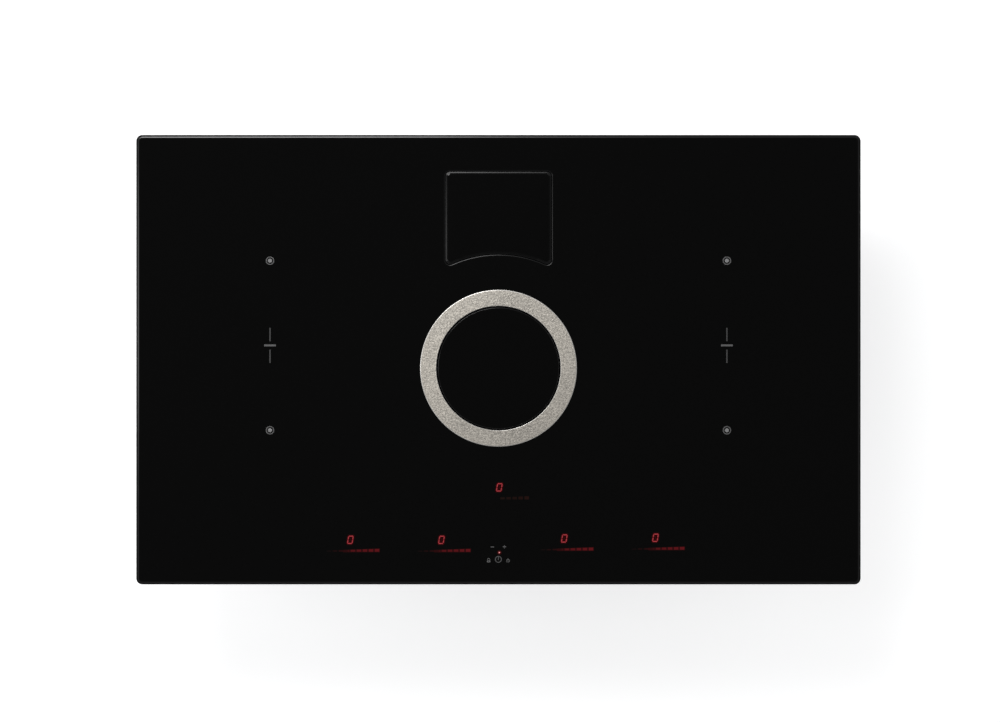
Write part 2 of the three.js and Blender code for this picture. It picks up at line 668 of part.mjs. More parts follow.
function dripTrayPiece() {
  const radius = ledgeRadius - TRAY_CLEARANCE;
  const bottom = PLASTIC_WALL + FIT_GAP;
  const body = turned([
    [0, bottom],
    [radius, bottom],
    [radius, bottom + TRAY_HEIGHT],
    [radius - TRAY_WALL, bottom + TRAY_HEIGHT],
    [radius - TRAY_WALL, bottom + TRAY_WALL],
    [0, bottom + TRAY_WALL],
  ]);
  return piece('drip_tray', body, 0x3a3a3d, 0.55, 0);
}

function intakeCollarPiece() {
  const tailBottom = casingBottom - COLLAR_TAIL;
  const body = turned([
    [collarRadius, glassBottom],
    [collarRadius, ledgeTop],
    [ledgeRadius, ledgeTop],
    [ledgeRadius, tailBottom],
    [collarTailRadius, tailBottom],
    [collarTailRadius, ledgeTop - PLASTIC_WALL],
    [collarRadius + PLASTIC_WALL, ledgeTop - PLASTIC_WALL],
    [collarRadius + PLASTIC_WALL, glassBottom - PLASTIC_WALL],
    [collarRadius + COLLAR_FLANGE_WIDTH, glassBottom - PLASTIC_WALL],
    [collarRadius + COLLAR_FLANGE_WIDTH, glassBottom],
  ]);
  return piece('intake_collar', body, 0x232325, 0.6, 0);
}

// ---------------------------------------------------------------------------------------------------
// Scale
// ---------------------------------------------------------------------------------------------------

/** Where the load cell lies along Y: the front end carries the spider, the rear end is clamped. */
function cellPlace() {
  const plateFront = INTAKE_Y + SCALE_ARC_RADIUS;
  const middle = (plateFront + scaleRearY) / 2;
  const top = glassBottom - SPIDER_THICKNESS - SPIDER_BOSS_HEIGHT - SCALE_TRAVEL - FIT_GAP;
  return { front: middle - CELL_LENGTH / 2, rear: middle + CELL_LENGTH / 2, middle, top };
}

function scalePieces() {
  const cell = cellPlace();
  const plate = groundPlate(scaleOutline(0), SCALE_CHAMFER, SCALE_CHAMFER, 1, ARC_SEGMENTS);

  const spiderBottom = glassBottom - SPIDER_THICKNESS;
  const half = SPIDER_BOSS_SIZE / 2;
  const bossY = cell.front + CELL_END / 2;
  const bossBottom = spiderBottom - SPIDER_BOSS_HEIGHT;
  const spider = prism(scaleOutline(-SPIDER_INSET), spiderBottom, glassBottom)
    .add(block(-half, half, bossY - half, bossY + half, bossBottom, spiderBottom + FIT_GAP));

  const cellBottom = cell.top - CELL_SECTION;
  const halfCell = CELL_SECTION / 2;
  let loadCell = block(-halfCell, halfCell, cell.front, cell.rear, cellBottom, cell.top);
  for (const side of [-1, 1]) {
    const holeY = cell.middle + (side * CELL_HOLE_SPACING) / 2;
    const holeZ = (cellBottom + cell.top) / 2;
    const hole = barAlongX(CELL_HOLE_DIAMETER / 2, -CELL_SECTION, CELL_SECTION, holeZ, holeY);
    loadCell = loadCell.subtract(hole);
  }

  const inner = SCALE_WIDTH / 2 + SCALE_GAP + WELL_MARGIN;
  const innerFront = INTAKE_Y + Math.sqrt(SCALE_ARC_RADIUS ** 2 - (SCALE_WIDTH / 2) ** 2) - SCALE_GAP;
  const innerRear = scaleRearY + SCALE_GAP + WELL_MARGIN;
  const wellFloor = cellBottom - CELL_PAD_HEIGHT;
  const rectangle = (grow) => roundedRectangle(
    -inner - grow,
    inner + grow,
    innerFront - grow,
    innerRear + grow,
    SCALE_CORNER_RADIUS + grow,
  );
  const well = prism(rectangle(PLASTIC_WALL), wellFloor - PLASTIC_WALL, glassBottom)
    .add(prism(rectangle(WELL_FLANGE_WIDTH), glassBottom - PLASTIC_WALL, glassBottom))
    .subtract(prism(rectangle(0), wellFloor, glassBottom + CUT_PAST))
    .add(block(-half, half, cell.rear - CELL_END, cell.rear, wellFloor - FIT_GAP, cellBottom));

  return [
    piece('scale_plate', plate, 0x0b0b0c, 0.08, 0),
    piece('scale_spider', spider, 0x9c9ea1, 0.5, 1),
    piece('load_cell', loadCell, 0xc4c6c8, 0.35, 1),
    piece('scale_well', well, 0x2b2b2e, 0.6, 0),
  ];
}

// ---------------------------------------------------------------------------------------------------
// Extractor: air box and blower
// ---------------------------------------------------------------------------------------------------

/** Outline of the upper air box, inset by a wall: a rectangle that narrows to a round end over the blower. */
function upperBoxOutline(inset) {
  const radius = BOX_END_RADIUS - inset;
  const corner = BOX_CORNER_RADIUS - inset;
  const [left, front, rear] = [-BOX_LEFT + inset, -BOX_FRONT + inset, BOX_REAR - inset];
  const outline = new THREE.Shape();
  outline.moveTo(left + corner, front);
  outline.lineTo(BOX_SHOULDER_X, front);
  outline.absarc(BLOWER_X, BLOWER_Y, radius, -Math.PI / 2, Math.PI / 2);
  outline.lineTo(BOX_SHOULDER_X, rear);
  outline.absarc(left + corner, rear - corner, corner, Math.PI / 2, Math.PI);
  outline.absarc(left + corner, front + corner, corner, Math.PI, 1.5 * Math.PI);
  return outline;
}

function airBoxPieces() {
  const ceiling = casingBottom - PLASTIC_WALL;
  const room = upperBoxOutline(PLASTIC_WALL);
  const upper = prism(upperBoxOutline(0), OUTLET_HEIGHT, casingBottom, ARC_SEGMENTS)
    .subtract(prism(room, OUTLET_HEIGHT - CUT_PAST, ceiling, ARC_SEGMENTS))
    .subtract(bar(collarTailRadius + FIT_GAP, casingBottom - CUT_PAST, casingBottom + CUT_PAST, 0, INTAKE_Y));

  const tub = (inset) => roundedRectangle(
    -BOX_LEFT + inset,
    BOX_RIGHT - inset,
    -BOX_FRONT + inset,
    BOX_REAR - inset,
    BOX_CORNER_RADIUS - inset,
  );
  const lower = prism(tub(0), 0, OUTLET_HEIGHT)
    .subtract(prism(tub(PLASTIC_WALL), PLASTIC_WALL, OUTLET_HEIGHT + CUT_PAST));
  return [
    piece('air_box_upper', upper, 0x2c2d30, 0.6, 0),
    piece('air_box_lower', lower, 0x2c2d30, 0.6, 0),
  ];
}

/** Radius of the spiral at an angle in radians, counted from +X. */
function spiralRadius(angle) {
  const tongue = THREE.MathUtils.degToRad(SPIRAL_TONGUE_ANGLE);
  return spiralStart + (SPIRAL_GROWTH * (angle - tongue)) / (2 * Math.PI - tongue);
}

/**
 * The room inside the spiral case and its outlet, grown by a wall, between two levels. The outlet widens
 * along a straight wall from the tongue to its mouth, and the grown spiral starts where it clears that wall.
 */
function spiralRoom(grow, bottom, top) {
  const outletY = OUTLET_Y - BLOWER_Y;
  const tongueAngle = THREE.MathUtils.degToRad(SPIRAL_TONGUE_ANGLE);
  const tongue = new THREE.Vector2(Math.cos(tongueAngle), Math.sin(tongueAngle)).multiplyScalar(spiralStart);
  const mouth = new THREE.Vector2(spiralEnd - OUTLET_WIDTH + 2 * PLASTIC_WALL, outletY);
  const along = tongue.clone().sub(mouth).normalize();
  const outward = new THREE.Vector2(along.y, -along.x);
  const outline = [];
  for (let i = 0; i <= SPIRAL_SEGMENTS; i += 1) {
    const angle = tongueAngle + ((2 * Math.PI - tongueAngle) * i) / SPIRAL_SEGMENTS;
    const radius = spiralRadius(angle) + grow;
    const point = new THREE.Vector2(Math.cos(angle), Math.sin(angle)).multiplyScalar(radius);
    if (point.clone().sub(mouth).dot(outward) > grow - WELD) outline.push([point.x, point.y]);
  }
  outline.push([spiralEnd + grow, outletY], [mouth.x + grow / outward.x, outletY]);
  return prism(polygon(outline), bottom, top);
}

/** Flange round the outlet, in the coordinates of the blower. */
function outletFlange(y0, y1, top) {
  const right = spiralEnd + PLASTIC_WALL;
  const left = right - OUTLET_WIDTH;
  return block(left - SPIGOT_FLANGE_WIDTH, right + SPIGOT_FLANGE_WIDTH, y0, y1, 0, top);
}

function scrollPieces() {
  const outletY = OUTLET_Y - BLOWER_Y;
  const caseBody = spiralRoom(PLASTIC_WALL, 0, scrollCeiling)
    .add(outletFlange(outletY - SPIGOT_FLANGE_THICKNESS, outletY, scrollCeiling))
    .subtract(spiralRoom(0, PLASTIC_WALL, scrollCeiling + CUT_PAST))
    .subtract(block(
      spiralEnd + 2 * PLASTIC_WALL - OUTLET_WIDTH,
      spiralEnd,
      outletY - SPIGOT_FLANGE_THICKNESS - FIT_GAP,
      outletY + CUT_PAST,
      PLASTIC_WALL,
      scrollCeiling + CUT_PAST,
    ));

  const underBox = prism(upperBoxOutline(0), scrollCeiling, OUTLET_HEIGHT, ARC_SEGMENTS)
    .intersect(block(BOX_RIGHT + FIT_GAP, GLASS_LENGTH, -GLASS_WIDTH, GLASS_WIDTH, 0, HEIGHT_UNDER_GLASS))
    .translate([-BLOWER_X, -BLOWER_Y, 0]);
  const eyeRadius = EYE_DIAMETER / 2;
  const cover = spiralRoom(PLASTIC_WALL, scrollCeiling, OUTLET_HEIGHT)
    .add(underBox)
    .add(bar(eyeRadius + PLASTIC_WALL, scrollCeiling - EYE_LIP_HEIGHT, scrollCeiling + FIT_GAP))
    .subtract(bar(eyeRadius, scrollCeiling - 2 * EYE_LIP_HEIGHT, OUTLET_HEIGHT + CUT_PAST));
  return [
    piece('scroll_case', caseBody, 0x303135, 0.6, 0),
    piece('scroll_cover', cover, 0x303135, 0.6, 0),
  ];
}

/** Forward-curved wheel: back plate with a cone over the motor, blades, rim and hub. */
function impellerPiece() {
  const radius = IMPELLER_DIAMETER / 2;
  const root = radius - IMPELLER_BLADE_DEPTH;
  const coneFoot = MOTOR_DIAMETER / 2 + 2 * MOTOR_CONE_GAP;
  const coneHead = MOTOR_DIAMETER / 2 + MOTOR_CONE_GAP;
  const bore = shaftRadius + FIT_GAP;
  const hubRadius = HUB_DIAMETER / 2;
  const hubTop = hubBottom + IMPELLER_PLATE;
  const disc = turned([
    [bore, hubBottom],
    [coneHead, hubBottom],
    [coneFoot, impellerBottom],
    [radius, impellerBottom],
    [radius, impellerBottom + IMPELLER_PLATE],
    [coneFoot + IMPELLER_PLATE, impellerBottom + IMPELLER_PLATE],
    [coneHead + IMPELLER_PLATE, hubTop],
    [hubRadius, hubTop],
    [hubRadius, hubTop + HUB_HEIGHT],
    [bore, hubTop + HUB_HEIGHT],
  ]);
  const rim = turned([
    [radius - IMPELLER_RIM_WIDTH, impellerTop - IMPELLER_PLATE],
    [radius, impellerTop - IMPELLER_PLATE],
    [radius, impellerTop],
    [radius - IMPELLER_RIM_WIDTH, impellerTop],
  ]);
  const sweep = THREE.MathUtils.degToRad(IMPELLER_BLADE_SWEEP);
  const blade = (angle) => {
    const side = (sign) => Array.from({ length: IMPELLER_BLADE_STEPS + 1 }, (_, i) => {
      const t = i / IMPELLER_BLADE_STEPS;
      const r = root + (IMPELLER_BLADE_DEPTH - IMPELLER_TIP_INSET) * t;
      const a = angle + sweep * t * t + (sign * IMPELLER_BLADE_THICKNESS) / 2 / r;
      return [r * Math.cos(a), r * Math.sin(a)];
    });
    const outline = [...side(-1), ...side(1).reverse()];
    return prism(polygon(outline), impellerBottom + IMPELLER_PLATE / 2, impellerTop - IMPELLER_PLATE / 2);
  };
  let wheel = disc;
  for (const vane of aroundZ(IMPELLER_BLADE_COUNT, blade)) wheel = wheel.add(vane);
  return piece('blower_impeller', wheel.add(rim), 0x1f2022, 0.55, 0);
}

function blowerDrivePieces() {
  const motorRadius = MOTOR_DIAMETER / 2;
  const footRadius = motorRadius + MOTOR_FOOT_WIDTH / 2;
  const bore = shaftRadius + FIT_GAP;
  const boreBottom = motorTop - SHAFT_IN_MOTOR - FIT_GAP;
  const motor = turned([
    [0, PLASTIC_WALL],
    [footRadius, PLASTIC_WALL],
    [footRadius, PLASTIC_WALL + MOTOR_FOOT_THICKNESS],
    [motorRadius, PLASTIC_WALL + MOTOR_FOOT_THICKNESS],
    [motorRadius, motorTop],
    [bore, motorTop],
    [bore, boreBottom],
    [0, boreBottom],
  ]);
  const shaftTop = hubBottom + IMPELLER_PLATE + HUB_HEIGHT;
  const shaft = bar(shaftRadius, motorTop - SHAFT_IN_MOTOR, shaftTop, 0, 0, SMALL_SEGMENTS);
  return [
    piece('blower_motor', motor, 0x8d8f92, 0.45, 1),
    piece('motor_shaft', shaft, 0xb8b8b8, 0.3, 1),
  ];
}

function outletSpigotPiece() {
  const start = OUTLET_Y - BLOWER_Y;
  const end = start + SPIGOT_LENGTH;
  const right = spiralEnd + PLASTIC_WALL;
  const left = right - OUTLET_WIDTH;
  const sleeve = block(left, right, start, end, 0, OUTLET_HEIGHT)
    .add(outletFlange(start, start + SPIGOT_FLANGE_THICKNESS, OUTLET_HEIGHT + SPIGOT_FLANGE_WIDTH))
    .subtract(block(
      left + PLASTIC_WALL,
      right - PLASTIC_WALL,
      start - CUT_PAST,
      end + CUT_PAST,
      PLASTIC_WALL,
      scrollCeiling,
    ));
  return piece('outlet_spigot', sleeve, 0x303135, 0.6, 0);
}

// ---------------------------------------------------------------------------------------------------
// Induction: coils, trays, power boards and fans
// ---------------------------------------------------------------------------------------------------

/** One coil: winding, the carrier that holds it and the ferrite star beneath. */
function coilPieces(place) {
  const shape = centredRectangle(coilLength, coilWidth, COIL_CORNER_RADIUS);
  const window = centredRectangle(
    coilLength - 2 * COIL_BAND,
    coilWidth - 2 * COIL_BAND,
    Math.max(COIL_CORNER_RADIUS - COIL_BAND, CARRIER_MARGIN),
    THREE.Path,
  );
  shape.holes.push(window);
  const winding = prism(shape, coilBottom, coilTop);

  const plate = centredRectangle(carrierLength, carrierWidth, COIL_CORNER_RADIUS + CARRIER_MARGIN);
  const probeHole = bar(
    CARRIER_HOLE_DIAMETER / 2,
    carrierBottom - CUT_PAST,
    coilBottom + CUT_PAST,
    0,
    0,
    SMALL_SEGMENTS,
  );
  const carrier = prism(plate, carrierBottom, coilBottom).subtract(probeHole);

  const ringInner = CARRIER_HOLE_DIAMETER / 2 + CARRIER_MARGIN;
  let star = turned([
    [ringInner, ferriteBottom],
    [ringInner + FERRITE_RING_WIDTH, ferriteBottom],
    [ringInner + FERRITE_RING_WIDTH, carrierBottom],
    [ringInner, carrierBottom],
  ], SMALL_SEGMENTS);
  for (const ray of aroundZ(FERRITE_COUNT, (angle) => {
    const start = ringInner + FERRITE_RING_WIDTH / 2;
    const geometry = new THREE.BoxGeometry(ferriteReach - start, FERRITE_WIDTH, FERRITE_THICKNESS);
    geometry.translate((start + ferriteReach) / 2, 0, (ferriteBottom + carrierBottom) / 2);
    return solid(geometry.rotateZ(angle));
  })) {
    star = star.add(ray);
  }
  return [
    piece(`coil_winding_${place}`, winding, 0x9a5a32, 0.45, 1),
    piece(`coil_carrier_${place}`, carrier, 0xd8d4c8, 0.7, 0),
    piece(`ferrite_star_${place}`, star, 0x35363a, 0.8, 0),
  ];
}

function coilTrayPiece(side) {
  const half = trayLength / 2;
  const body = block(-half, half, trayFrontY, trayRearY, casingFloor, ferriteBottom)
    .subtract(block(
      -half + COIL_TRAY_SHEET,
      half - COIL_TRAY_SHEET,
      trayFrontY - CUT_PAST,
      trayRearY + CUT_PAST,
      casingFloor - CUT_PAST,
      coilTrayBottom,
    ));
  return piece(`coil_tray_${side}`, body, 0xc8cacc, 0.4, 1);
}

function insulationPiece(side) {
  const inset = COIL_TRAY_MARGIN - INSULATION_MARGIN;
  const half = trayLength / 2 - inset;
  const body = block(-half, half, trayFrontY + inset, trayRearY - inset, coilTop, glassBottom);
  return piece(`insulation_sheet_${side}`, body, 0xb9b2a2, 0.9, 0);
}

/** Comb section, extruded along Y. */
function heatSinkPiece(side) {
  const pitch = (SINK_WIDTH - SINK_FIN) / (SINK_FIN_COUNT - 1);
  const [foot, valley, crest] = [boardTop, boardTop + SINK_BASE, boardTop + SINK_HEIGHT];
  const left = -SINK_WIDTH / 2;
  const comb = [[left + SINK_WIDTH, foot], [left, foot]];
  for (let i = 0; i < SINK_FIN_COUNT; i += 1) {
    const x = left + i * pitch;
    if (i > 0) comb.push([x, valley]);
    comb.push([x, crest], [x + SINK_FIN, crest]);
    if (i < SINK_FIN_COUNT - 1) comb.push([x + SINK_FIN, valley]);
  }
  const geometry = new THREE.ExtrudeGeometry(polygon(comb), { depth: sinkLength, bevelEnabled: false });
  const body = solid(geometry.rotateX(Math.PI / 2).translate(0, boardY + sinkLength / 2, 0));
  return piece(`heat_sink_${side}`, body, 0xb5b8bb, 0.4, 1);
}

function powerBoardPiece(side) {
  const body = block(-boardWidth / 2, boardWidth / 2, boardFrontY, boardRearY, boardBottom, boardTop);
  return piece(`power_board_${side}`, body, 0x2d6b43, 0.6, 0);
}

/** Frame of a cooling fan, with struts and a post at its foot, about its own axis. */
function fanFramePiece(side) {
  const half = FAN_SIZE / 2;
  const boreRadius = half - FAN_WALL;
  const foot = casingFloor;
  const strutTop = foot + FAN_STRUT_THICKNESS;
  const strut = FAN_STRUT_WIDTH / 2;
  const body = block(-half, half, -half, half, foot, foot + FAN_DEPTH)
    .subtract(bar(boreRadius, foot - CUT_PAST, foot + FAN_DEPTH + CUT_PAST))
    .add(block(-half, half, -strut, strut, foot, strutTop))
    .add(block(-strut, strut, -half, half, foot, strutTop))
    .add(bar(FAN_HUB_DIAMETER / 2, foot, strutTop, 0, 0, SMALL_SEGMENTS))
    .add(bar(FAN_POST_DIAMETER / 2, foot, foot + FAN_DEPTH / 2, 0, 0, SMALL_SEGMENTS));
  return piece(`fan_frame_${side}`, body, 0x202124, 0.6, 0);
}

function fanRotorPiece(side) {
  const bottom = casingFloor + FAN_STRUT_THICKNESS + FAN_ROTOR_GAP;
  const top = casingFloor + FAN_DEPTH - FAN_ROTOR_GAP;
  const hubRadius = FAN_HUB_DIAMETER / 2;
  const tipRadius = FAN_SIZE / 2 - FAN_WALL - FAN_ROTOR_GAP;
  const bore = FAN_POST_DIAMETER / 2 + FIT_GAP;
  const boreTop = casingFloor + FAN_DEPTH / 2 + FIT_GAP;
  let body = turned([
    [bore, bottom],
    [hubRadius, bottom],
    [hubRadius, top],
    [0, top],
    [0, boreTop],
    [bore, boreTop],
  ], SMALL_SEGMENTS);
  const pitch = THREE.MathUtils.degToRad(FAN_BLADE_PITCH);
  const reach = Math.min(FAN_BLADE_CHORD, (top - bottom) / Math.sin(pitch));
  const span = Math.sqrt(tipRadius ** 2 - (reach / 2) ** 2) - hubRadius / 2;
  for (const blade of aroundZ(FAN_BLADE_COUNT, (angle) => {
    const geometry = new THREE.BoxGeometry(span, reach, FAN_BLADE_THICKNESS);
    geometry.rotateX(pitch);
    geometry.translate(hubRadius / 2 + span / 2, 0, (bottom + top) / 2);
    return solid(geometry.rotateZ(angle));
  })) {
    body = body.add(blade);
  }
  return piece(`fan_rotor_${side}`, body, 0x2a2b2e, 0.55, 0);
}

/** Everything that one side of the hob holds, about the middle line of its cooking zones. */
function inductionSide(side, x) {
  return assembly(x, 0, 0, [
    insulationPiece(side),
    coilTrayPiece(side),
    powerBoardPiece(side),
    heatSinkPiece(side),
    assembly(0, zoneRearY, 0, coilPieces(`${side}_rear`)),
    assembly(0, zoneFrontY, 0, coilPieces(`${side}_front`)),
    assembly(0, fanY, 0, [fanFramePiece(side), fanRotorPiece(side)]),
  ]);
}

// ---------------------------------------------------------------------------------------------------
// Controls and mains connection
// ---------------------------------------------------------------------------------------------------

function controlPieces() {
  const holderBottom = glassBottom - HOLDER_HEIGHT;
  const [halfX, halfY] = [CONTROL_LENGTH / 2, CONTROL_WIDTH / 2];
  let holder = block(-halfX, halfX, -halfY, halfY, holderBottom, glassBottom);
  for (let i = 0; i < DISPLAY_COUNT; i += 1) {
    const x = (i - (DISPLAY_COUNT - 1) / 2) * DISPLAY_PITCH;
    holder = holder.subtract(block(
      x - DISPLAY_WINDOW_LENGTH / 2,
      x + DISPLAY_WINDOW_LENGTH / 2,
      -DISPLAY_WINDOW_WIDTH / 2,
      DISPLAY_WINDOW_WIDTH / 2,
      holderBottom - CUT_PAST,
      glassBottom + CUT_PAST,
    ));
  }
  const edge = HOLDER_WALL;
  const board = block(
    -halfX + edge,
    halfX - edge,
    -halfY + edge,
    halfY - edge,
    holderBottom - CONTROL_BOARD_THICKNESS,
    holderBottom,
  );
  return [
    piece('control_holder', holder, 0xe4e4e0, 0.7, 0),
    piece('control_board', board, 0x1f5a38, 0.6, 0),
  ];
}

function mainsPieces() {
  const [halfX, halfY] = [TERMINAL_LENGTH / 2, TERMINAL_WIDTH / 2];
  const bottom = casingBottom - TERMINAL_HEIGHT;
  const glandZ = casingBottom - TERMINAL_HEIGHT / 2;
  const along = (radius, y0, y1, segments) => solid(
    new THREE.CylinderGeometry(radius, radius, y1 - y0, segments).translate(0, (y0 + y1) / 2, glandZ),
  );
  const wallInside = halfY - PLASTIC_WALL;
  const glandHole = GLAND_DIAMETER / 2 + FIT_GAP;
  const box = block(-halfX, halfX, -halfY, halfY, bottom, casingBottom)
    .subtract(block(
      -halfX + PLASTIC_WALL,
      halfX - PLASTIC_WALL,
      -wallInside,
      wallInside,
      bottom - CUT_PAST,
      casingBottom - PLASTIC_WALL,
    ))
    .subtract(along(glandHole, wallInside - CUT_PAST, halfY + CUT_PAST, SMALL_SEGMENTS));
  const lid = centredRectangle(TERMINAL_LENGTH, TERMINAL_WIDTH, PLASTIC_WALL);
  const cover = prism(lid, bottom - PLASTIC_WALL, bottom);
  const gland = along(GLAND_DIAMETER / 2, wallInside, halfY + GLAND_LENGTH, SMALL_SEGMENTS)
    .add(along(GLAND_HEX / 2, halfY + FIT_GAP, halfY + FIT_GAP + GLAND_HEX_LENGTH, 6))
    .subtract(along(GLAND_BORE / 2, halfY - CUT_PAST, halfY + GLAND_LENGTH + CUT_PAST, SMALL_SEGMENTS));
  return [
    piece('terminal_box', box, 0x1d1d1f, 0.55, 0),
    piece('terminal_cover', cover, 0x1d1d1f, 0.55, 0),
    piece('cable_gland', gland, 0x151515, 0.6, 0),
  ];
}

// ---------------------------------------------------------------------------------------------------
// Casing
// ---------------------------------------------------------------------------------------------------

/** Slots through the casing floor, in a row along X about a place. */
function ventCutters(x, y) {
  return Array.from({ length: VENT_SLOT_COUNT }, (_, i) => {
    const middle = x + (i - (VENT_SLOT_COUNT - 1) / 2) * VENT_SLOT_PITCH;
    return block(
      middle - VENT_SLOT_WIDTH / 2,
      middle + VENT_SLOT_WIDTH / 2,
      y - VENT_SLOT_LENGTH / 2,
      y + VENT_SLOT_LENGTH / 2,
      casingBottom - CUT_PAST,
      casingFloor + CUT_PAST,
    );
  });
}

function baseCasingPiece() {
  const inside = centredRectangle(
    casingLength - 2 * SHEET_STEEL,
    casingWidth - 2 * SHEET_STEEL,
    CASING_CORNER_RADIUS - SHEET_STEEL,
  );
  const outside = centredRectangle(casingLength, casingWidth, CASING_CORNER_RADIUS);
  let body = prism(outside, casingBottom, glassBottom)
    .subtract(prism(inside, casingFloor, glassBottom + CUT_PAST))
    .subtract(bar(collarTailRadius + FIT_GAP, casingBottom - CUT_PAST, casingFloor + CUT_PAST, 0, INTAKE_Y));
  for (const side of [-1, 1]) {
    for (const cutter of ventCutters(side * zoneX, fanY)) body = body.subtract(cutter);
    const frontVentY = boardFrontY - VENT_SLOT_LENGTH / 2;
    for (const cutter of ventCutters(side * zoneX, frontVentY)) body = body.subtract(cutter);
    for (const cornerX of [-1, 1]) {
      for (const y of [boardFrontY + POST_INSET, boardRearY - POST_INSET]) {
        const x = side * zoneX + cornerX * (boardWidth / 2 - POST_INSET);
        body = body.add(bar(POST_DIAMETER / 2, casingBottom, boardBottom, x, y, SMALL_SEGMENTS));
      }
    }
  }
  return piece('base_casing', body, 0xc3c6c8, 0.45, 1);
}

/** Bent strip that stands out from the casing wall, drawn as a section along Y. */
function sideSpringPiece(name, x, y, facing) {
  const top = glassBottom - SPRING_TOP_DROP;
  const [middle, bottom] = [top - SPRING_BEND_DROP, top - SPRING_HEIGHT];
  const section = [
    [0, top],
    [0, bottom],
    [SPRING_SHEET, bottom],
    [SPRING_SHEET, top - 2 * SPRING_SHEET],
    [SPRING_REACH - SPRING_SHEET, middle],
    [SPRING_SHEET + FIT_GAP, bottom + SPRING_SHEET],
    [2 * SPRING_SHEET + FIT_GAP, bottom + SPRING_SHEET],
    [SPRING_REACH, middle],
    [SPRING_SHEET, top],
  ];
  const geometry = new THREE.ExtrudeGeometry(polygon(section), { depth: SPRING_LENGTH, bevelEnabled: false });
  geometry.rotateX(Math.PI / 2).translate(0, SPRING_LENGTH / 2, 0);
  if (facing < 0) geometry.rotateZ(Math.PI);
  const mesh = piece(name, solid(geometry), 0xd0d2d4, 0.3, 1);
  mesh.position.set(x, y, 0);
  return mesh;
}

// ---------------------------------------------------------------------------------------------------
// Whole hob
// ---------------------------------------------------------------------------------------------------

const hob = new THREE.Group();
hob.name = 'downdraft_induction_cooktop';
hob.add(
  glassTopPiece(),
  worktopTapePiece(),
  assembly(0, INTAKE_Y, 0, [
    intakeRingPiece(),
    ringSealPiece(),
    ...flapPieces(),
    filterBasketPiece(),
    filterMeshPiece(),
    filterGripPiece(),
    dripTrayPiece(),
    intakeCollarPiece(),
  ]),
  ...scalePieces(),
  ...airBoxPieces(),
  assembly(BLOWER_X, BLOWER_Y, 0, [
    ...scrollPieces(),
    impellerPiece(),
    ...blowerDrivePieces(),
    outletSpigotPiece(),
  ]),
  inductionSide('left', -zoneX),
  inductionSide('right', zoneX),
  assembly(0, controlY, 0, controlPieces()),
  assembly(terminalX, terminalY, 0, mainsPieces()),
  baseCasingPiece(),
  sideSpringPiece('side_spring_left_front', -casingLength / 2, -springY, -1),
  sideSpringPiece('side_spring_left_rear', -casingLength / 2, springY, -1),
  sideSpringPiece('side_spring_right_front', casingLength / 2, -springY, 1),
  sideSpringPiece('side_spring_right_rear', casingLength / 2, springY, 1),
);

export default hob;
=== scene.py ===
"""Looks of a built-in induction hob with a central downdraft extractor and a scale in its glass.

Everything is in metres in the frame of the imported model: +X to the right, +Y to the wall, +Z up.
"""

from __future__ import annotations

import logging
import math
from collections.abc import Callable, Iterable, Sequence
from dataclasses import dataclass, field
from enum import Enum

import bmesh
import bpy
from mathutils import Matrix, Vector


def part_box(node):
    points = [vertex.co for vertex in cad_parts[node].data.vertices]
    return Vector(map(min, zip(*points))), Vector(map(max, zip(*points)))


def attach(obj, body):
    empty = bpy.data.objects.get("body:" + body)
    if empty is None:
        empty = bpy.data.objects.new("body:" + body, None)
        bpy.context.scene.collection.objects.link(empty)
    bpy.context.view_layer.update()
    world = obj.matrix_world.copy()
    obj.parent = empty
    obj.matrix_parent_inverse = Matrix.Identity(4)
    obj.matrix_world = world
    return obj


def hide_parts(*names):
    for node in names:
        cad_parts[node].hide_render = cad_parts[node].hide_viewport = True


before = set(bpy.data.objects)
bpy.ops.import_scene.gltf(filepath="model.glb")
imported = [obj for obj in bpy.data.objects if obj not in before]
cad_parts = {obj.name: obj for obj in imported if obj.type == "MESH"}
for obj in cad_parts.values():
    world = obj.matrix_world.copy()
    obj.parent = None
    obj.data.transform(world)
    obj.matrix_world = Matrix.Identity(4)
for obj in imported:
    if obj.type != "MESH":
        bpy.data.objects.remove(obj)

MM = 0.001
TURN = 2 * math.pi
VIEW_WIDTH = 1145.1 * MM  # what the picture shows from side to side, at the glass
SHARP_OVER = 32.0  # degrees above which an edge stays sharp
BREAK_OVER = 38.0  # degrees above which an edge of a CAD node is broken
SUNK = 0.2 * MM  # how far a screw, rivet or bead reaches into what carries it
ROOT = 0.4 * MM  # how far a rib reaches into its wall
FLANGE_SUNK = 0.8 * MM  # how far a flange reaches into its wall
CLEAR = 0.05 * MM  # gap that keeps two faces from lying in one plane
DOWN = (0, 0, -1)
REARWARD = (0, 1, 0)

log = logging.getLogger("hob")

Point = tuple[float, float]
Outline = list[Point]
Color = tuple[float, float, float]
Direction = tuple[float, float, float]
Section = Callable[[float], Outline]  # the outline at a margin
Socket = bpy.types.NodeSocket
Stops = Sequence[tuple[float, Color]]
Verts = list[bmesh.types.BMVert]


# ------------------------------------------------------------------------------------------------
# Finishes
# ------------------------------------------------------------------------------------------------


class Grain(Enum):
    """How the surface of a finish varies."""

    POLISHED = "polished"
    BLASTED = "blasted"
    BRUSHED = "brushed"
    MOULDED = "moulded"
    SPANGLED = "spangled"
    FOAMED = "foamed"
    WOUND = "wound"
    PRINTED = "printed"
    LIT = "lit"


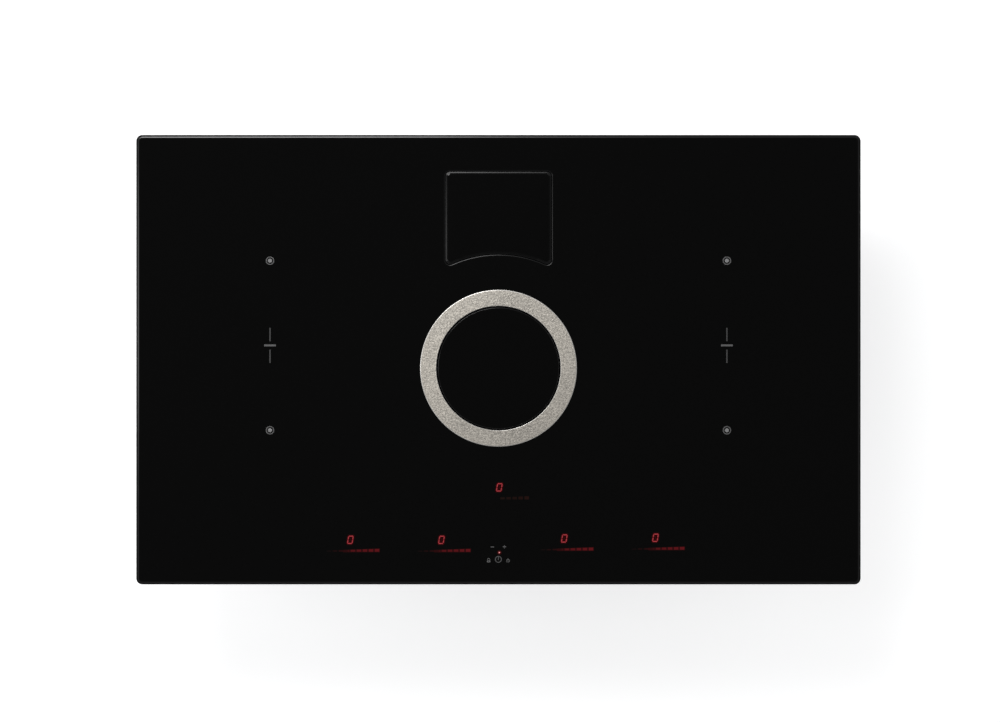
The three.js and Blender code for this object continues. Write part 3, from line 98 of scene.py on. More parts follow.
class Nodes:
    """A node tree with short ways to build in it."""

    def __init__(self, tree: bpy.types.NodeTree) -> None:
        """Takes a tree as it is."""
        self.tree = tree

    def node(self, kind: str, **inputs: object) -> bpy.types.Node:
        """Adds a node and sets its named inputs.

        Args:
            kind: Blender's name of the node type.
            inputs: values by socket name, with _ for a space.

        Returns:
            The new node.
        """
        made = self.tree.nodes.new(kind)
        for key, value in inputs.items():
            made.inputs[key.replace("_", " ")].default_value = value
        return made

    def link(self, source: Socket, target: Socket) -> None:
        """Joins an output to an input."""
        self.tree.links.new(source, target)

    def axis(self, where: Socket, name: str) -> Socket:
        """One coordinate of a place.

        Args:
            where: the place.
            name: X, Y or Z.

        Returns:
            The coordinate.
        """
        split = self.node("ShaderNodeSeparateXYZ")
        self.link(where, split.inputs["Vector"])
        return split.outputs[name]

    def combine(self, operation: str, first: Socket, second: Socket | float) -> Socket:
        """What an operation makes of two values.

        Args:
            operation: Blender's name of it.
            first: the first value.
            second: the second value, from a socket or fixed.

        Returns:
            The result.
        """
        made = self.node("ShaderNodeMath")
        made.operation = operation
        self.link(first, made.inputs[0])
        if isinstance(second, float):
            made.inputs[1].default_value = second
        else:
            self.link(second, made.inputs[1])
        return made.outputs[0]

    def mapped(self, value: Socket, source: Point, target: Point, curve: str = "LINEAR") -> Socket:
        """A value moved from one range to another, and held inside it.

        Args:
            value: the value.
            source: low and high end of its own range.
            target: low and high end of the range that it gets.
            curve: Blender's name of the way between the ends.

        Returns:
            The mapped value.
        """
        span = self.node("ShaderNodeMapRange")
        span.interpolation_type = curve
        for key, bound in zip(("From Min", "From Max", "To Min", "To Max"), (*source, *target)):
            span.inputs[key].default_value = bound
        self.link(value, span.inputs["Value"])
        return span.outputs["Result"]

    def ramp(self, factor: Socket, stops: Stops) -> Socket:
        """Colours along a factor.

        Args:
            factor: 0 to 1.
            stops: position and colour of each stop, in rising order.

        Returns:
            The colour output.
        """
        ramp = self.node("ShaderNodeValToRGB")
        elements = ramp.color_ramp.elements
        while len(elements) < len(stops):
            elements.new(0.5)
        for element, (position, color) in zip(elements, stops):
            element.position = position
            element.color = (*color, 1)
        self.link(factor, ramp.inputs["Fac"])
        return ramp.outputs["Color"]


class Sheet(Nodes):
    """The node tree of one material."""

    def __init__(self, name: str) -> None:
        """Makes an empty tree with a shader and an output.

        Args:
            name: name of the material.
        """
        self.material = bpy.data.materials.new(name)
        self.material.use_nodes = True
        super().__init__(self.material.node_tree)
        self.tree.nodes.clear()
        self.shader = self.node("ShaderNodeBsdfPrincipled")
        output = self.node("ShaderNodeOutputMaterial")
        self.link(self.shader.outputs["BSDF"], output.inputs["Surface"])

    def place(self, stretch: Sequence[float] = (1, 1, 1)) -> Socket:
        """Coordinates on the piece itself, stretched along the axes.

        Args:
            stretch: factor along X, Y and Z.

        Returns:
            The vector output.
        """
        coordinates = self.node("ShaderNodeTexCoord")
        mapping = self.node("ShaderNodeMapping", Scale=stretch)
        self.link(coordinates.outputs["Object"], mapping.inputs["Vector"])
        return mapping.outputs["Vector"]

    def noise(self, size: float, detail: float, where: Socket) -> Socket:
        """Noise whose features are about a given size.

        Args:
            size: feature size in metres.
            detail: octaves of finer noise.
            where: coordinates.

        Returns:
            The noise factor, 0 to 1.
        """
        noise = self.node("ShaderNodeTexNoise", Scale=1 / size, Detail=detail, Roughness=0.55)
        self.link(where, noise.inputs["Vector"])
        return noise.outputs["Fac"]

    def bump(self, height: Socket, depth: float) -> None:
        """Roughens the shader's normal.

        Args:
            height: height factor.
            depth: height in metres of a factor of 1.
        """
        bump = self.node("ShaderNodeBump", Strength=1.0, Distance=depth)
        self.link(height, bump.inputs["Height"])
        self.link(bump.outputs["Normal"], self.shader.inputs["Normal"])

    def light(self, color: Socket, strength: float) -> None:
        """Makes the surface shine by itself on a black ground.

        Args:
            color: colour of the light.
            strength: how strong it is.
        """
        self.shader.inputs["Base Color"].default_value = (0.001, 0.001, 0.001, 1)
        self.shader.inputs["Emission Strength"].default_value = strength
        self.link(color, self.shader.inputs["Emission Color"])


def tinted(color: Color, factor: float) -> Color:
    """A colour made lighter or darker by a factor."""
    return tuple(min(1.0, c * factor) for c in color)


@dataclass(frozen=True)
class Coat:
    """What covers a surface.

    Attributes:
        name: name of its material.
    """

    name: str

    def material(self) -> bpy.types.Material:
        """The material, made once."""
        return bpy.data.materials.get(self.name) or self.build().material

    def build(self) -> Sheet:
        """Makes the node tree, each kind of coat in its own way."""
        raise NotImplementedError


@dataclass(frozen=True)
class Finish(Coat):
    """One even surface finish.

    Attributes:
        name: name of the material.
        color: middle colour, linear.
        roughness: middle roughness.
        grain: how the surface varies.
        metallic: 1 for bare metal.
        grain_size: size in metres of the finest feature.
        contrast: how far the colour swings round the middle, as a share of it.
        relief: depth in metres of the surface relief.
        glow: emission strength, for lit pieces.
        shine: how strongly a surface that isn't metal reflects, 0.5 for common ones.
    """

    color: Color
    roughness: float
    grain: Grain
    metallic: float = 0.0
    grain_size: float = 0.6 * MM
    contrast: float = 0.15
    relief: float = 0.02 * MM
    glow: float = 0.0
    shine: float = 0.5

    def tint(self, sheet: Sheet, fine: Socket, broad: Socket) -> Socket:
        """The colour, which swings with the grain and drifts slowly over the piece.

        Args:
            sheet: the node tree.
            fine: noise of the grain.
            broad: noise of the drift.

        Returns:
            The colour output.
        """
        dark, pale = tinted(self.color, 1 - self.contrast), tinted(self.color, 1 + self.contrast)
        grain = sheet.ramp(fine, [(0.32, dark), (0.68, pale)])
        drift = sheet.ramp(broad, [(0.3, (0.94, 0.94, 0.94)), (0.7, (1.0, 1.0, 1.0))])
        mix = sheet.node("ShaderNodeMix")
        mix.data_type = "RGBA"
        mix.blend_type = "MULTIPLY"
        mix.inputs["Factor"].default_value = 1.0
        first, second, result = 6, 7, 2  # colour sockets, which share their names with others
        sheet.link(grain, mix.inputs[first])
        sheet.link(drift, mix.inputs[second])
        return mix.outputs[result]

    def build(self) -> Sheet:
        """Makes the node tree.

        Returns:
            The sheet that holds it.
        """
        sheet = Sheet(self.name)
        shader = sheet.shader
        shader.inputs["Metallic"].default_value = self.metallic
        shader.inputs["Specular IOR Level"].default_value = self.shine
        stretch = {
            Grain.BRUSHED: (0.03, 1, 1),
            Grain.WOUND: (1, 1, 4),
        }.get(self.grain, (1, 1, 1))
        where = sheet.place(stretch)
        fine = sheet.noise(self.grain_size, 3, where)
        broad = sheet.noise(60 * self.grain_size, 2, where)
        if self.grain is Grain.SPANGLED:
            cells = sheet.node("ShaderNodeTexVoronoi", Scale=1 / self.grain_size)
            sheet.link(where, cells.inputs["Vector"])
            fine = cells.outputs["Color"]
        color = self.tint(sheet, fine, broad)
        if self.grain is Grain.LIT:
            sheet.light(color, self.glow)
        else:
            sheet.link(color, shader.inputs["Base Color"])
        levels = (self.roughness * 0.85, min(1.0, self.roughness * 1.15))
        usual = (0.3, 0.7)  # where most of a noise lies
        sheet.link(sheet.mapped(broad, usual, levels), shader.inputs["Roughness"])
        if self.relief > 0:
            sheet.bump(fine, self.relief)
        return sheet


@dataclass(frozen=True)
class SliderGlow(Coat):
    """Red light that changes along a length from the piece's own zero.

    Attributes:
        name: name of the material.
        start: colour at the zero.
        end: colour at the far end.
        length: how far it is.
        step: share of the length at which the light steps up, if it does.
    """

    start: Color
    end: Color
    length: float
    step: float | None = None

    def stops(self) -> Stops:
        """Position and colour of each stop along the length.

        Returns:
            The stops, for a ramp.
        """
        if self.step is None:
            middle = tuple((a + b) * 0.36 for a, b in zip(self.start, self.end))
            return [(0.05, self.start), (0.5, middle), (1.0, self.end)]
        dim, lit = tinted(self.end, 0.2), tinted(self.end, 0.7)
        return [(0.05, self.start), (self.step - 0.07, dim), (self.step, lit), (1.0, self.end)]

    def place(self, sheet: Sheet) -> Socket:
        """How far a point lies along the row, 0 to 1."""
        return sheet.axis(sheet.place((1 / self.length, 1, 1)), "X")

    def build(self) -> Sheet:
        """Makes the node tree.

        Returns:
            The sheet that holds it.
        """
        sheet = Sheet(self.name)
        sheet.light(sheet.ramp(self.place(sheet), self.stops()), 1.0)
        sheet.shader.inputs["Roughness"].default_value = 0.06
        return sheet


@dataclass(frozen=True)
class LampGlow(SliderGlow):
    """Red light that fades outward from the piece's own zero."""

    def place(self, sheet: Sheet) -> Socket:
        """How far a point lies from the lamp, 0 to 1.

        Args:
            sheet: the node tree.

        Returns:
            The distance as a share of the length.
        """
        far = sheet.node("ShaderNodeVectorMath")
        far.operation = "LENGTH"
        reach = 1 / self.length
        sheet.link(sheet.place((reach, reach, reach)), far.inputs[0])
        return far.outputs["Value"]


# Each one: name, colour, roughness, grain, metallic, grain size, contrast, relief, glow and shine.
GLASS = Finish("glass_ceramic", (0.0009, 0.0009, 0.0009), 0.05, Grain.POLISHED, 0, 2 * MM, 0.3, 0)
GROUND_EDGE = Finish(
    "ground_glass_edge", (0.004, 0.004, 0.004), 0.16, Grain.BRUSHED, 0, 0.3 * MM, 0.3, 0.003 * MM
)
FLAP_GLASS = Finish("flap_glass", (0.0007, 0.0007, 0.0007), 0.04, Grain.POLISHED, 0, 2 * MM, 0.2, 0)
STEEP_EDGE = Finish(
    "steep_glass_edge", (0.002, 0.002, 0.002), 0.6, Grain.BLASTED, 0, 0.3 * MM, 0.3, 0, 0, 0.03
)
GROOVE_EDGE = Finish(
    "ground_groove_edge", (0.004, 0.004, 0.004), 0.16, Grain.BRUSHED, 0, 0.3 * MM, 0.3, 0.003 * MM, 0, 0.3
)
RING_METAL = Finish("blasted_ring", (0.71, 0.67, 0.6), 0.54, Grain.BLASTED, 1, 1.8 * MM, 0.33, 0.3 * MM)
RING_RIM = Finish("turned_ring_rim", (0.92, 0.9, 0.85), 0.25, Grain.BRUSHED, 1, 0.4 * MM, 0.08, 0.002 * MM)
DARK_STEEL = Finish(
    "blackened_steel", (0.03, 0.03, 0.032), 0.45, Grain.BLASTED, 1, 0.3 * MM, 0.2, 0.004 * MM
)
PIN_STEEL = Finish("ground_steel", (0.58, 0.58, 0.58), 0.25, Grain.BRUSHED, 1, 0.3 * MM, 0.1, 0.005 * MM)
FOAM = Finish("foam_tape", (0.02, 0.02, 0.021), 0.95, Grain.FOAMED, 0, 0.8 * MM, 0.4, 0.15 * MM)
SEAL = Finish("seal_rubber", (0.018, 0.018, 0.019), 0.75, Grain.MOULDED, 0, 0.4 * MM, 0.2, 0.02 * MM)
BLACK_PLASTIC = Finish(
    "black_moulding", (0.022, 0.022, 0.024), 0.5, Grain.MOULDED, 0, 0.5 * MM, 0.2, 0.02 * MM
)
GREY_PLASTIC = Finish(
    "grey_moulding", (0.052, 0.054, 0.06), 0.48, Grain.MOULDED, 0, 0.7 * MM, 0.14, 0.03 * MM
)
FILTER_STEEL = Finish(
    "filter_steel", (0.56, 0.57, 0.59), 0.3, Grain.BRUSHED, 1, 0.35 * MM, 0.12, 0.008 * MM
)
MESH_STEEL = Finish("wire_steel", (0.5, 0.51, 0.53), 0.35, Grain.BRUSHED, 1, 0.3 * MM, 0.12, 0.004 * MM)
CASING_STEEL = Finish("zinc_sheet", (0.5, 0.51, 0.525), 0.42, Grain.SPANGLED, 1, 9 * MM, 0.07, 0.004 * MM)
SPRING_STEEL = Finish("spring_steel", (0.62, 0.63, 0.64), 0.22, Grain.BRUSHED, 1, 0.3 * MM, 0.1, 0.004 * MM)
SCREW_STEEL = Finish("screw_zinc", (0.55, 0.56, 0.58), 0.3, Grain.BRUSHED, 1, 0.2 * MM, 0.12, 0.004 * MM)
COPPER = Finish("wound_copper", (0.42, 0.15, 0.06), 0.35, Grain.WOUND, 1, 1.2 * MM, 0.35, 0.3 * MM)
FERRITE = Finish("ferrite", (0.03, 0.03, 0.033), 0.7, Grain.MOULDED, 0, 0.5 * MM, 0.3, 0.03 * MM)
MICA = Finish("mica_sheet", (0.42, 0.38, 0.3), 0.7, Grain.SPANGLED, 0, 2.5 * MM, 0.2, 0.02 * MM)
CARRIER = Finish("cream_moulding", (0.6, 0.56, 0.47), 0.6, Grain.MOULDED, 0, 0.7 * MM, 0.08, 0.02 * MM)
TRAY_ALU = Finish("mill_aluminium", (0.66, 0.67, 0.68), 0.35, Grain.BRUSHED, 1, 0.4 * MM, 0.1, 0.006 * MM)
SINK_ALU = Finish("extruded_aluminium", (0.55, 0.56, 0.57), 0.4, Grain.BRUSHED, 1, 0.5 * MM, 0.1, 0.01 * MM)
BOARD = Finish("circuit_board", (0.012, 0.09, 0.04), 0.4, Grain.SPANGLED, 0, 3 * MM, 0.25, 0.01 * MM)
LIGHT_GUIDE = Finish("light_guide", (0.7, 0.7, 0.67), 0.5, Grain.MOULDED, 0, 0.8 * MM, 0.06, 0.01 * MM)
MOTOR_SHELL = Finish("motor_shell", (0.32, 0.33, 0.34), 0.38, Grain.SPANGLED, 1, 5 * MM, 0.08, 0.004 * MM)
PRINT_LIGHT = Finish("print_light", (0.3, 0.3, 0.3), 0.5, Grain.PRINTED, 0, 1.5 * MM, 0.2, 0)
PRINT_GREY = Finish("print_grey", (0.135, 0.135, 0.135), 0.5, Grain.PRINTED, 0, 1.5 * MM, 0.2, 0)
PRINT_KEY = Finish("print_key", (0.1, 0.1, 0.1), 0.5, Grain.PRINTED, 0, 1.5 * MM, 0.2, 0)
PRINT_DIM = Finish("print_dim", (0.07, 0.07, 0.07), 0.5, Grain.PRINTED, 0, 1.5 * MM, 0.2, 0)
RED_DIGIT = Finish("red_digit", (0.35, 0.036, 0.044), 0.06, Grain.LIT, 0, 1.5 * MM, 0.25, 0, 1.0)
# Painted glow: dim red light spill on the glass round the lit digits and the brightest slider bars, where no
# lamp is.
RED_LIGHT_SPILL = Finish("red_light_spill", (0.02, 0.0006, 0.0012), 0.06, Grain.LIT, 0, 1.5 * MM, 0.2, 0, 1.0)
RED_SPOT = Finish("red_spot", (1.0, 0.35, 0.35), 0.06, Grain.LIT, 0, 1.5 * MM, 0.1, 0, 1.0)


# ------------------------------------------------------------------------------------------------
# Outlines and meshes
# ------------------------------------------------------------------------------------------------


def arc(x: float, y: float, radius: float, start: float, end: float, steps: int) -> Outline:
    """Points of an arc, both ends included.

    Args:
        x: centre.
        y: centre.
        radius: radius.
        start: first angle in radians.
        end: last angle in radians, below start for a clockwise arc.
        steps: number of chords.

    Returns:
        The points.
    """
    angles = (start + (end - start) * i / steps for i in range(steps + 1))
    return [(x + radius * math.cos(a), y + radius * math.sin(a)) for a in angles]


def circle(x: float, y: float, radius: float, steps: int) -> Outline:
    """Points of a full circle, counterclockwise."""
    return arc(x, y, radius, 0, TURN * (1 - 1 / steps), steps - 1)


def box(x0: float, x1: float, y0: float, y1: float) -> Outline:
    """Outline of a rectangle with sharp corners."""
    return [(x0, y0), (x1, y0), (x1, y1), (x0, y1)]


def rounded_rectangle(low: Point, high: Point, radius: float, steps: int = 8) -> Outline:
    """Outline of a rectangle with round corners.

    Args:
        low: lower left corner.
        high: upper right corner.
        radius: corner radius.
        steps: chords of a corner.

    Returns:
        The points, counterclockwise.
    """
    (x0, y0), (x1, y1) = low, high
    quarter = math.pi / 2
    corners = [(x1 - radius, y0 + radius, -1), (x1 - radius, y1 - radius, 0)]
    corners += [(x0 + radius, y1 - radius, 1), (x0 + radius, y0 + radius, 2)]
    points: Outline = []
    for x, y, turn in corners:
        points += arc(x, y, radius, turn * quarter, (turn + 1) * quarter, steps)
    return points


def sided(radius: float, sides: int, steps: int) -> Outline:
    """Points of a regular polygon with flat sides.

    Args:
        radius: distance from the middle to a corner.
        sides: number of sides.
        steps: number of points, a multiple of the sides.

    Returns:
        The points, counterclockwise.
    """
    points: Outline = []
    sweep = TURN / sides
    for i in range(steps):
        angle = TURN * i / steps
        reach = radius * math.cos(sweep / 2) / math.cos(angle % sweep - sweep / 2)
        points.append((reach * math.cos(angle), reach * math.sin(angle)))
    return points


def fluted(radius: float, flutes: int, depth: float, steps: int) -> Outline:
    """Points of a circle with shallow flutes.

    Args:
        radius: radius between the flutes.
        flutes: number of flutes.
        depth: how deep they are.
        steps: number of points.

    Returns:
        The points, counterclockwise.
    """
    points: Outline = []
    for i in range(steps):
        angle = TURN * i / steps
        reach = radius - depth * (1 + math.cos(flutes * angle)) / 2
        points.append((reach * math.cos(angle), reach * math.sin(angle)))
    return points


def offset(path: Outline, distance: float, closed: bool = True) -> Outline:
    """A path moved sideways, to the right of its direction.

    Args:
        path: its points, counterclockwise where it is closed, so that the right is outside.
        distance: how far it moves.
        closed: whether the last point joins the first.

    Returns:
        As many points.
    """
    points: Outline = []
    count = len(path)
    for i, (x, y) in enumerate(path):
        before = path[i - 1] if closed or i > 0 else None
        after = path[(i + 1) % count] if closed or i < count - 1 else None
        normals = []
        for start, end in ((before, (x, y)), ((x, y), after)):
            if start and end:
                along = Vector((end[0] - start[0], end[1] - start[1])).normalized()
                normals.append(Vector((along.y, -along.x)))
        middle = sum(normals, Vector((0, 0))).normalized()
        reach = distance / max(0.5, middle.dot(normals[0]))
        points.append((x + middle.x * reach, y + middle.y * reach))
    return points


def counterclockwise(path: Outline) -> Outline:
    """The same closed path, turned round where it runs clockwise."""
    area = sum(x0 * y1 - x1 * y0 for (x0, y0), (x1, y1) in zip(path, path[1:] + path[:1]))
    return path if area > 0 else path[::-1]


def spaced(path: Outline, pitch: float, closed: bool = True) -> list[tuple[Vector, Vector]]:
    """Places at an even pitch along a path.

    Args:
        path: its points.
        pitch: distance between two places, made a little longer or shorter to fit.
        closed: whether the last point joins the first.

    Returns:
        For each place, the point and the direction to the right of the path.
    """
    corners = [Vector(point) for point in (path + path[:1] if closed else path)]
    lengths = [(b - a).length for a, b in zip(corners, corners[1:])]
    count = max(1, round(sum(lengths) / pitch))
    step = sum(lengths) / count
    places = []
    gone, edge = 0.0, 0
    for i in range(count):
        target = (i + 0.5) * step
        while gone + lengths[edge] < target:
            gone += lengths[edge]
            edge += 1
        along = (corners[edge + 1] - corners[edge]).normalized()
        places.append((corners[edge] + along * (target - gone), Vector((along.y, -along.x))))
    return places


def seat(at: Sequence[float], toward: Sequence[float], along: Sequence[float] = (0, 0, 1)) -> Matrix:
    """Matrix that stands a shape made round +Z on a surface.

    Args:
        at: where its zero goes.
        toward: where its +Z points.
        along: direction in the surface that its +X follows as well as it can.

    Returns:
        The matrix.
    """
    up = Vector(toward).normalized()
    guide = Vector(along)
    if abs(up.dot(guide.normalized())) > 0.9:
        guide = Vector((1, 0, 0)) if abs(up.x) < 0.9 else Vector((0, 1, 0))
    right = (guide - up * guide.dot(up)).normalized()
    ahead = up.cross(right)
    turned = Matrix((right, ahead, up)).transposed().to_4x4()
    return Matrix.Translation(Vector(at)) @ turned


class Maker:
    """Builds one mesh out of walls, caps, prisms and turned bodies."""

    def __init__(self) -> None:
        """Starts with an empty mesh."""
        self.bm = bmesh.new()

    def loop(self, outline: Outline, z: float) -> Verts:
        """Vertices of an outline at a level."""
        return [self.bm.verts.new((x, y, z)) for x, y in outline]

    def wall(self, first: Verts, second: Verts) -> None:
        """Adds the faces between two loops.

        Args:
            first: one loop.
            second: the other, of equal count.
        """
        for i, vertex in enumerate(first):
            after = (i + 1) % len(first)
            self.bm.faces.new((vertex, first[after], second[after], second[i]))

    def cap(self, loops: Sequence[Verts], up: bool) -> None:
        """Fills an outer loop round its holes.

        Args:
            loops: the outer loop, then the holes.
            up: whether the face looks up.
        """
        edges = []
        for verts in loops:
            for i, vertex in enumerate(verts):
                other = verts[(i + 1) % len(verts)]
                edges.append(self.bm.edges.get((vertex, other)) or self.bm.edges.new((vertex, other)))
        normal = (0, 0, 1 if up else -1)
        bmesh.ops.triangle_fill(self.bm, use_beauty=True, use_dissolve=False, edges=edges, normal=normal)

    def plate(self, sections: Sequence[Section], profiles: Sequence[Sequence[Point]]) -> None:
        """A plate with holes whose edges follow profiles.

        Args:
            sections: for the outside and then each hole, the outline at a margin. A margin is
                inward on the outside and outward on a hole.
            profiles: for each of them, (margin, level) from the bottom to the top.
        """
        bottoms, tops = [], []
        for outline_at, profile in zip(sections, profiles):
            rings = [self.loop(outline_at(margin), z) for margin, z in profile]
            for lower, upper in zip(rings, rings[1:]):
                self.wall(lower, upper)
            bottoms.append(rings[0])
            tops.append(rings[-1])
        self.cap(bottoms, up=False)
        self.cap(tops, up=True)

    def prism(self, outline: Outline, bottom: float, top: float) -> None:
        """An upright prism.

        Args:
            outline: its outline, counterclockwise.
            bottom: its lower level.
            top: its upper level.
        """
        lower, upper = self.loop(outline, bottom), self.loop(outline, top)
        self.wall(lower, upper)
        self.bm.faces.new(reversed(lower))
        self.bm.faces.new(upper)

    def turned(self, profile: Sequence[Point], steps: int, x: float = 0, y: float = 0) -> None:
        """A body of revolution about an upright axis.

        Args:
            profile: (radius, level) points that close on themselves. A radius of 0 is on the axis.
            steps: chords of the turn.
            x: place of the axis.
            y: place of the axis.
        """
        rings = []
        for radius, z in profile:
            if radius > 0:
                rings.append(self.loop(circle(x, y, radius, steps), z))
            else:
                rings.append([self.bm.verts.new((x, y, z))])
        for first, second in zip(rings, rings[1:] + rings[:1]):
            if len(first) == 1 and len(second) == 1:
                continue
            if len(first) > 1 and len(second) > 1:
                self.wall(first, second)
                continue
            (tip,), rim = (first, second) if len(first) == 1 else (second, first)
            for i, vertex in enumerate(rim):
                self.bm.faces.new((tip, vertex, rim[(i + 1) % len(rim)]))

    def lofted(self, rings: Sequence[tuple[Outline, float]]) -> None:
        """A closed skin through outlines of equal count, the last joined to the first.

        Args:
            rings: outline and level of each.
        """
        loops = [self.loop(outline, z) for outline, z in rings]
        for first, second in zip(loops, loops[1:] + loops[:1]):
            self.wall(first, second)

    def strip(self, path: Outline, inward: float, outward: float, bottom: float, top: float) -> None:
        """An upright strip along an open path.

        Args:
            path: its points.
            inward: how far it reaches to the left of the path.
            outward: how far it reaches to the right.
            bottom: its lower level.
            top: its upper level.
        """
        left = offset(path, -inward, closed=False)
        right = offset(path, outward, closed=False)
        sections = []
        for inner, outer in zip(left, right):
            corners = [(*inner, bottom), (*outer, bottom), (*outer, top), (*inner, top)]
            sections.append([self.bm.verts.new(corner) for corner in corners])
        for first, second in zip(sections, sections[1:]):
            self.wall(first, second)
        self.bm.faces.new(sections[0])
        self.bm.faces.new(reversed(sections[-1]))

    def rib(self, at: Vector, outward: Vector, width: float, reach: float, bottom: float, top: float) -> None:
        """An upright rib on a wall, with a slanted head and foot.

        Args:
            at: place on the wall.
            outward: direction away from the wall.
            width: its width.
            reach: how far it stands out.
            bottom: level of its foot.
            top: level of its head.
        """
        side = Vector((-outward.y, outward.x)) * width / 2
        root = at - outward * ROOT
        tip = at + outward * reach
        profile = [(root, bottom), (tip, bottom + reach), (tip, top - reach), (root, top)]
        loops = []
        for turn in (-1, 1):
            places = [(p + side * turn, z) for p, z in profile]
            loops.append([self.bm.verts.new((p.x, p.y, z)) for p, z in places])
        self.wall(*loops)
        self.bm.faces.new(loops[0])
        self.bm.faces.new(reversed(loops[1]))

    def moved(self, make: Callable[[Maker], None], matrix: Matrix) -> None:
        """Adds what another function makes, moved by a matrix.

        Args:
            make: function that builds into a maker.
            matrix: where it goes.
        """
        other = Maker()
        make(other)
        other.bm.transform(matrix)
        mesh = bpy.data.meshes.new("part")
        other.bm.to_mesh(mesh)
        other.bm.free()
        self.bm.from_mesh(mesh)
        bpy.data.meshes.remove(mesh)

    def piece(
        self,
        name: str,
        finish: Coat,
        body: str,
        replaces: Iterable[str] = (),
        slot: str | None = None,
        origin: Sequence[float] = (0, 0, 0),
        sharp_over: float = SHARP_OVER,
        slopes: Sequence[tuple[float, Finish]] = (),
    ) -> bpy.types.Object:
        """Turns the mesh into a dressed piece that rides on a body.

        Args:
            name: name of the piece.
            finish: its finish.
            body: CAD body that it rides on.
            replaces: CAD nodes that it stands for.
            slot: material slot of the record; not used.
            origin: where the piece's own zero lies.
            sharp_over: angle in degrees above which an edge stays sharp.
            slopes: finishes for sloping faces, each with the most upright part of a normal that
                it still takes, the gentlest slope first.

        Returns:
            The piece.
        """
        bmesh.ops.recalc_face_normals(self.bm, faces=self.bm.faces)
        for index, (upright, _) in enumerate(slopes, 1):
            for face in self.bm.faces:
                if abs(face.normal.z) < upright:
                    face.material_index = index
        mesh = bpy.data.meshes.new(name)
        self.bm.transform(Matrix.Translation(-Vector(origin)))
        self.bm.to_mesh(mesh)
        self.bm.free()
        made = bpy.data.objects.new(name, mesh)
        made.location = origin
        bpy.context.scene.collection.objects.link(made)
        mesh.materials.append(finish.material())
        for _, slope in slopes:
            mesh.materials.append(slope.material())
        soften(made, sharp_over)
        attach(made, body)
        if replaces:
            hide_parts(*replaces)
        log.info("%s: %d faces, rides on %s", name, len(mesh.polygons), body)
        return made


def soften(piece: bpy.types.Object, sharp_over: float) -> None:
    """Smooth shading that keeps sharp edges and flat faces.

    Args:
        piece: the object.
        sharp_over: angle in degrees above which an edge stays sharp.
    """
    mesh = piece.data
    mesh.polygons.foreach_set("use_smooth", [True] * len(mesh.polygons))
    mesh.set_sharp_from_angle(angle=math.radians(sharp_over))
    weighted = piece.modifiers.new("even_faces", "WEIGHTED_NORMAL")
    weighted.keep_sharp = True
    weighted.weight = 100


def dress(node: str, finish: Finish, edge: float = 0.0) -> None:
    """Gives a CAD node its finish and, where asked, broken edges.

    Args:
        node: name of the node.
        finish: its finish.
        edge: width in metres of the broken edges, 0 for none.
    """
    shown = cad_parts[node]
    if shown.material_slots:
        shown.material_slots[0].material = finish.material()
    else:
        shown.data.materials.append(finish.material())
    if "custom_normal" in shown.data.attributes:
        shown.data.attributes.remove(shown.data.attributes["custom_normal"])
    if edge > 0:
        broken = shown.modifiers.new("broken_edge", "BEVEL")
        broken.width = edge
        broken.segments = 2
        broken.limit_method = "ANGLE"
        broken.angle_limit = math.radians(BREAK_OVER)
    soften(shown, SHARP_OVER)
    log.info("%s: CAD node, %s", node, finish.name)


@dataclass(frozen=True)
class Screw:
    """Pan head screw with a cross recess, made round +Z.

    Attributes:
        radius: radius of the head.
        height: height of the head.
        arm: reach of an arm of the recess.
        width: width of an arm.
        depth: depth of the recess.
    """

    radius: float = 3.1 * MM
    height: float = 1.7 * MM
    arm: float = 1.7 * MM
    width: float = 0.8 * MM
    depth: float = 1.0 * MM

    def __call__(self, maker: Maker) -> None:
        """Adds one head.

        Args:
            maker: where it goes.
        """
        r, h = self.radius, self.height
        profile = [(r, -SUNK), (r, 0.4 * h), (0.9 * r, 0.75 * h), (0.66 * r, h)]
        rings = [maker.loop(circle(0, 0, radius, 20), z) for radius, z in profile]
        for lower, upper in zip(rings, rings[1:]):
            maker.wall(lower, upper)
        half, arm = self.width / 2, self.arm
        cross = [(arm, -half), (arm, half), (half, half), (half, arm), (-half, arm), (-half, half)]
        cross += [(-arm, half), (-arm, -half), (-half, -half), (-half, -arm), (half, -arm), (half, -half)]
        mouth = maker.loop(cross, self.height)
        floor = maker.loop(cross, self.height - self.depth)
        maker.wall(floor, mouth)
        maker.cap([rings[-1], mouth], up=True)
        maker.cap([floor], up=True)
        maker.cap([rings[0]], up=False)


@dataclass(frozen=True)
class Rivet:
    """Domed rivet head, made round +Z.

    Attributes:
        radius: radius of the head.
        height: height of the head.
    """

    radius: float = 2.4 * MM
    height: float = 1.1 * MM

    def __call__(self, maker: Maker) -> None:
        """Adds one head.

        Args:
            maker: where it goes.
        """
        r, h = self.radius, self.height
        dome = [(r, 0.3 * h), (0.82 * r, 0.72 * h), (0.45 * r, 0.96 * h), (0, h)]
        maker.turned([(0, -SUNK), (r, -SUNK), *dome], 16)


@dataclass(frozen=True)
class Raised:
    """Raised flat field with rolled edges, made round +Z.

    Attributes:
        length: its length along +X.
        width: its width.
        height: how far it stands out.
        shoulder: width of the rolled edge.
        corner: corner radius, 0 for round ends.
    """

    length: float
    width: float
    height: float
    shoulder: float
    corner: float = 0.0

    def outline(self, margin: float) -> Outline:
        """Its outline, drawn in by a margin.

        Args:
            margin: how far it is drawn in.

        Returns:
            The points, counterclockwise.
        """
        x, y = self.length / 2 - margin, self.width / 2 - margin
        corner, steps = (self.corner, 8) if self.corner > 0 else (y * 0.999, 6)
        return rounded_rectangle((-x, -y), (x, y), corner, steps)

    def __call__(self, maker: Maker) -> None:
        """Adds one field.

        Args:
            maker: where it goes.
        """
        h, shoulder = self.height, self.shoulder
        profile = [(0.0, -SUNK), (0.0, 0.25 * h), (0.3 * shoulder, 0.75 * h), (shoulder, h)]
        maker.plate([self.outline], [profile])


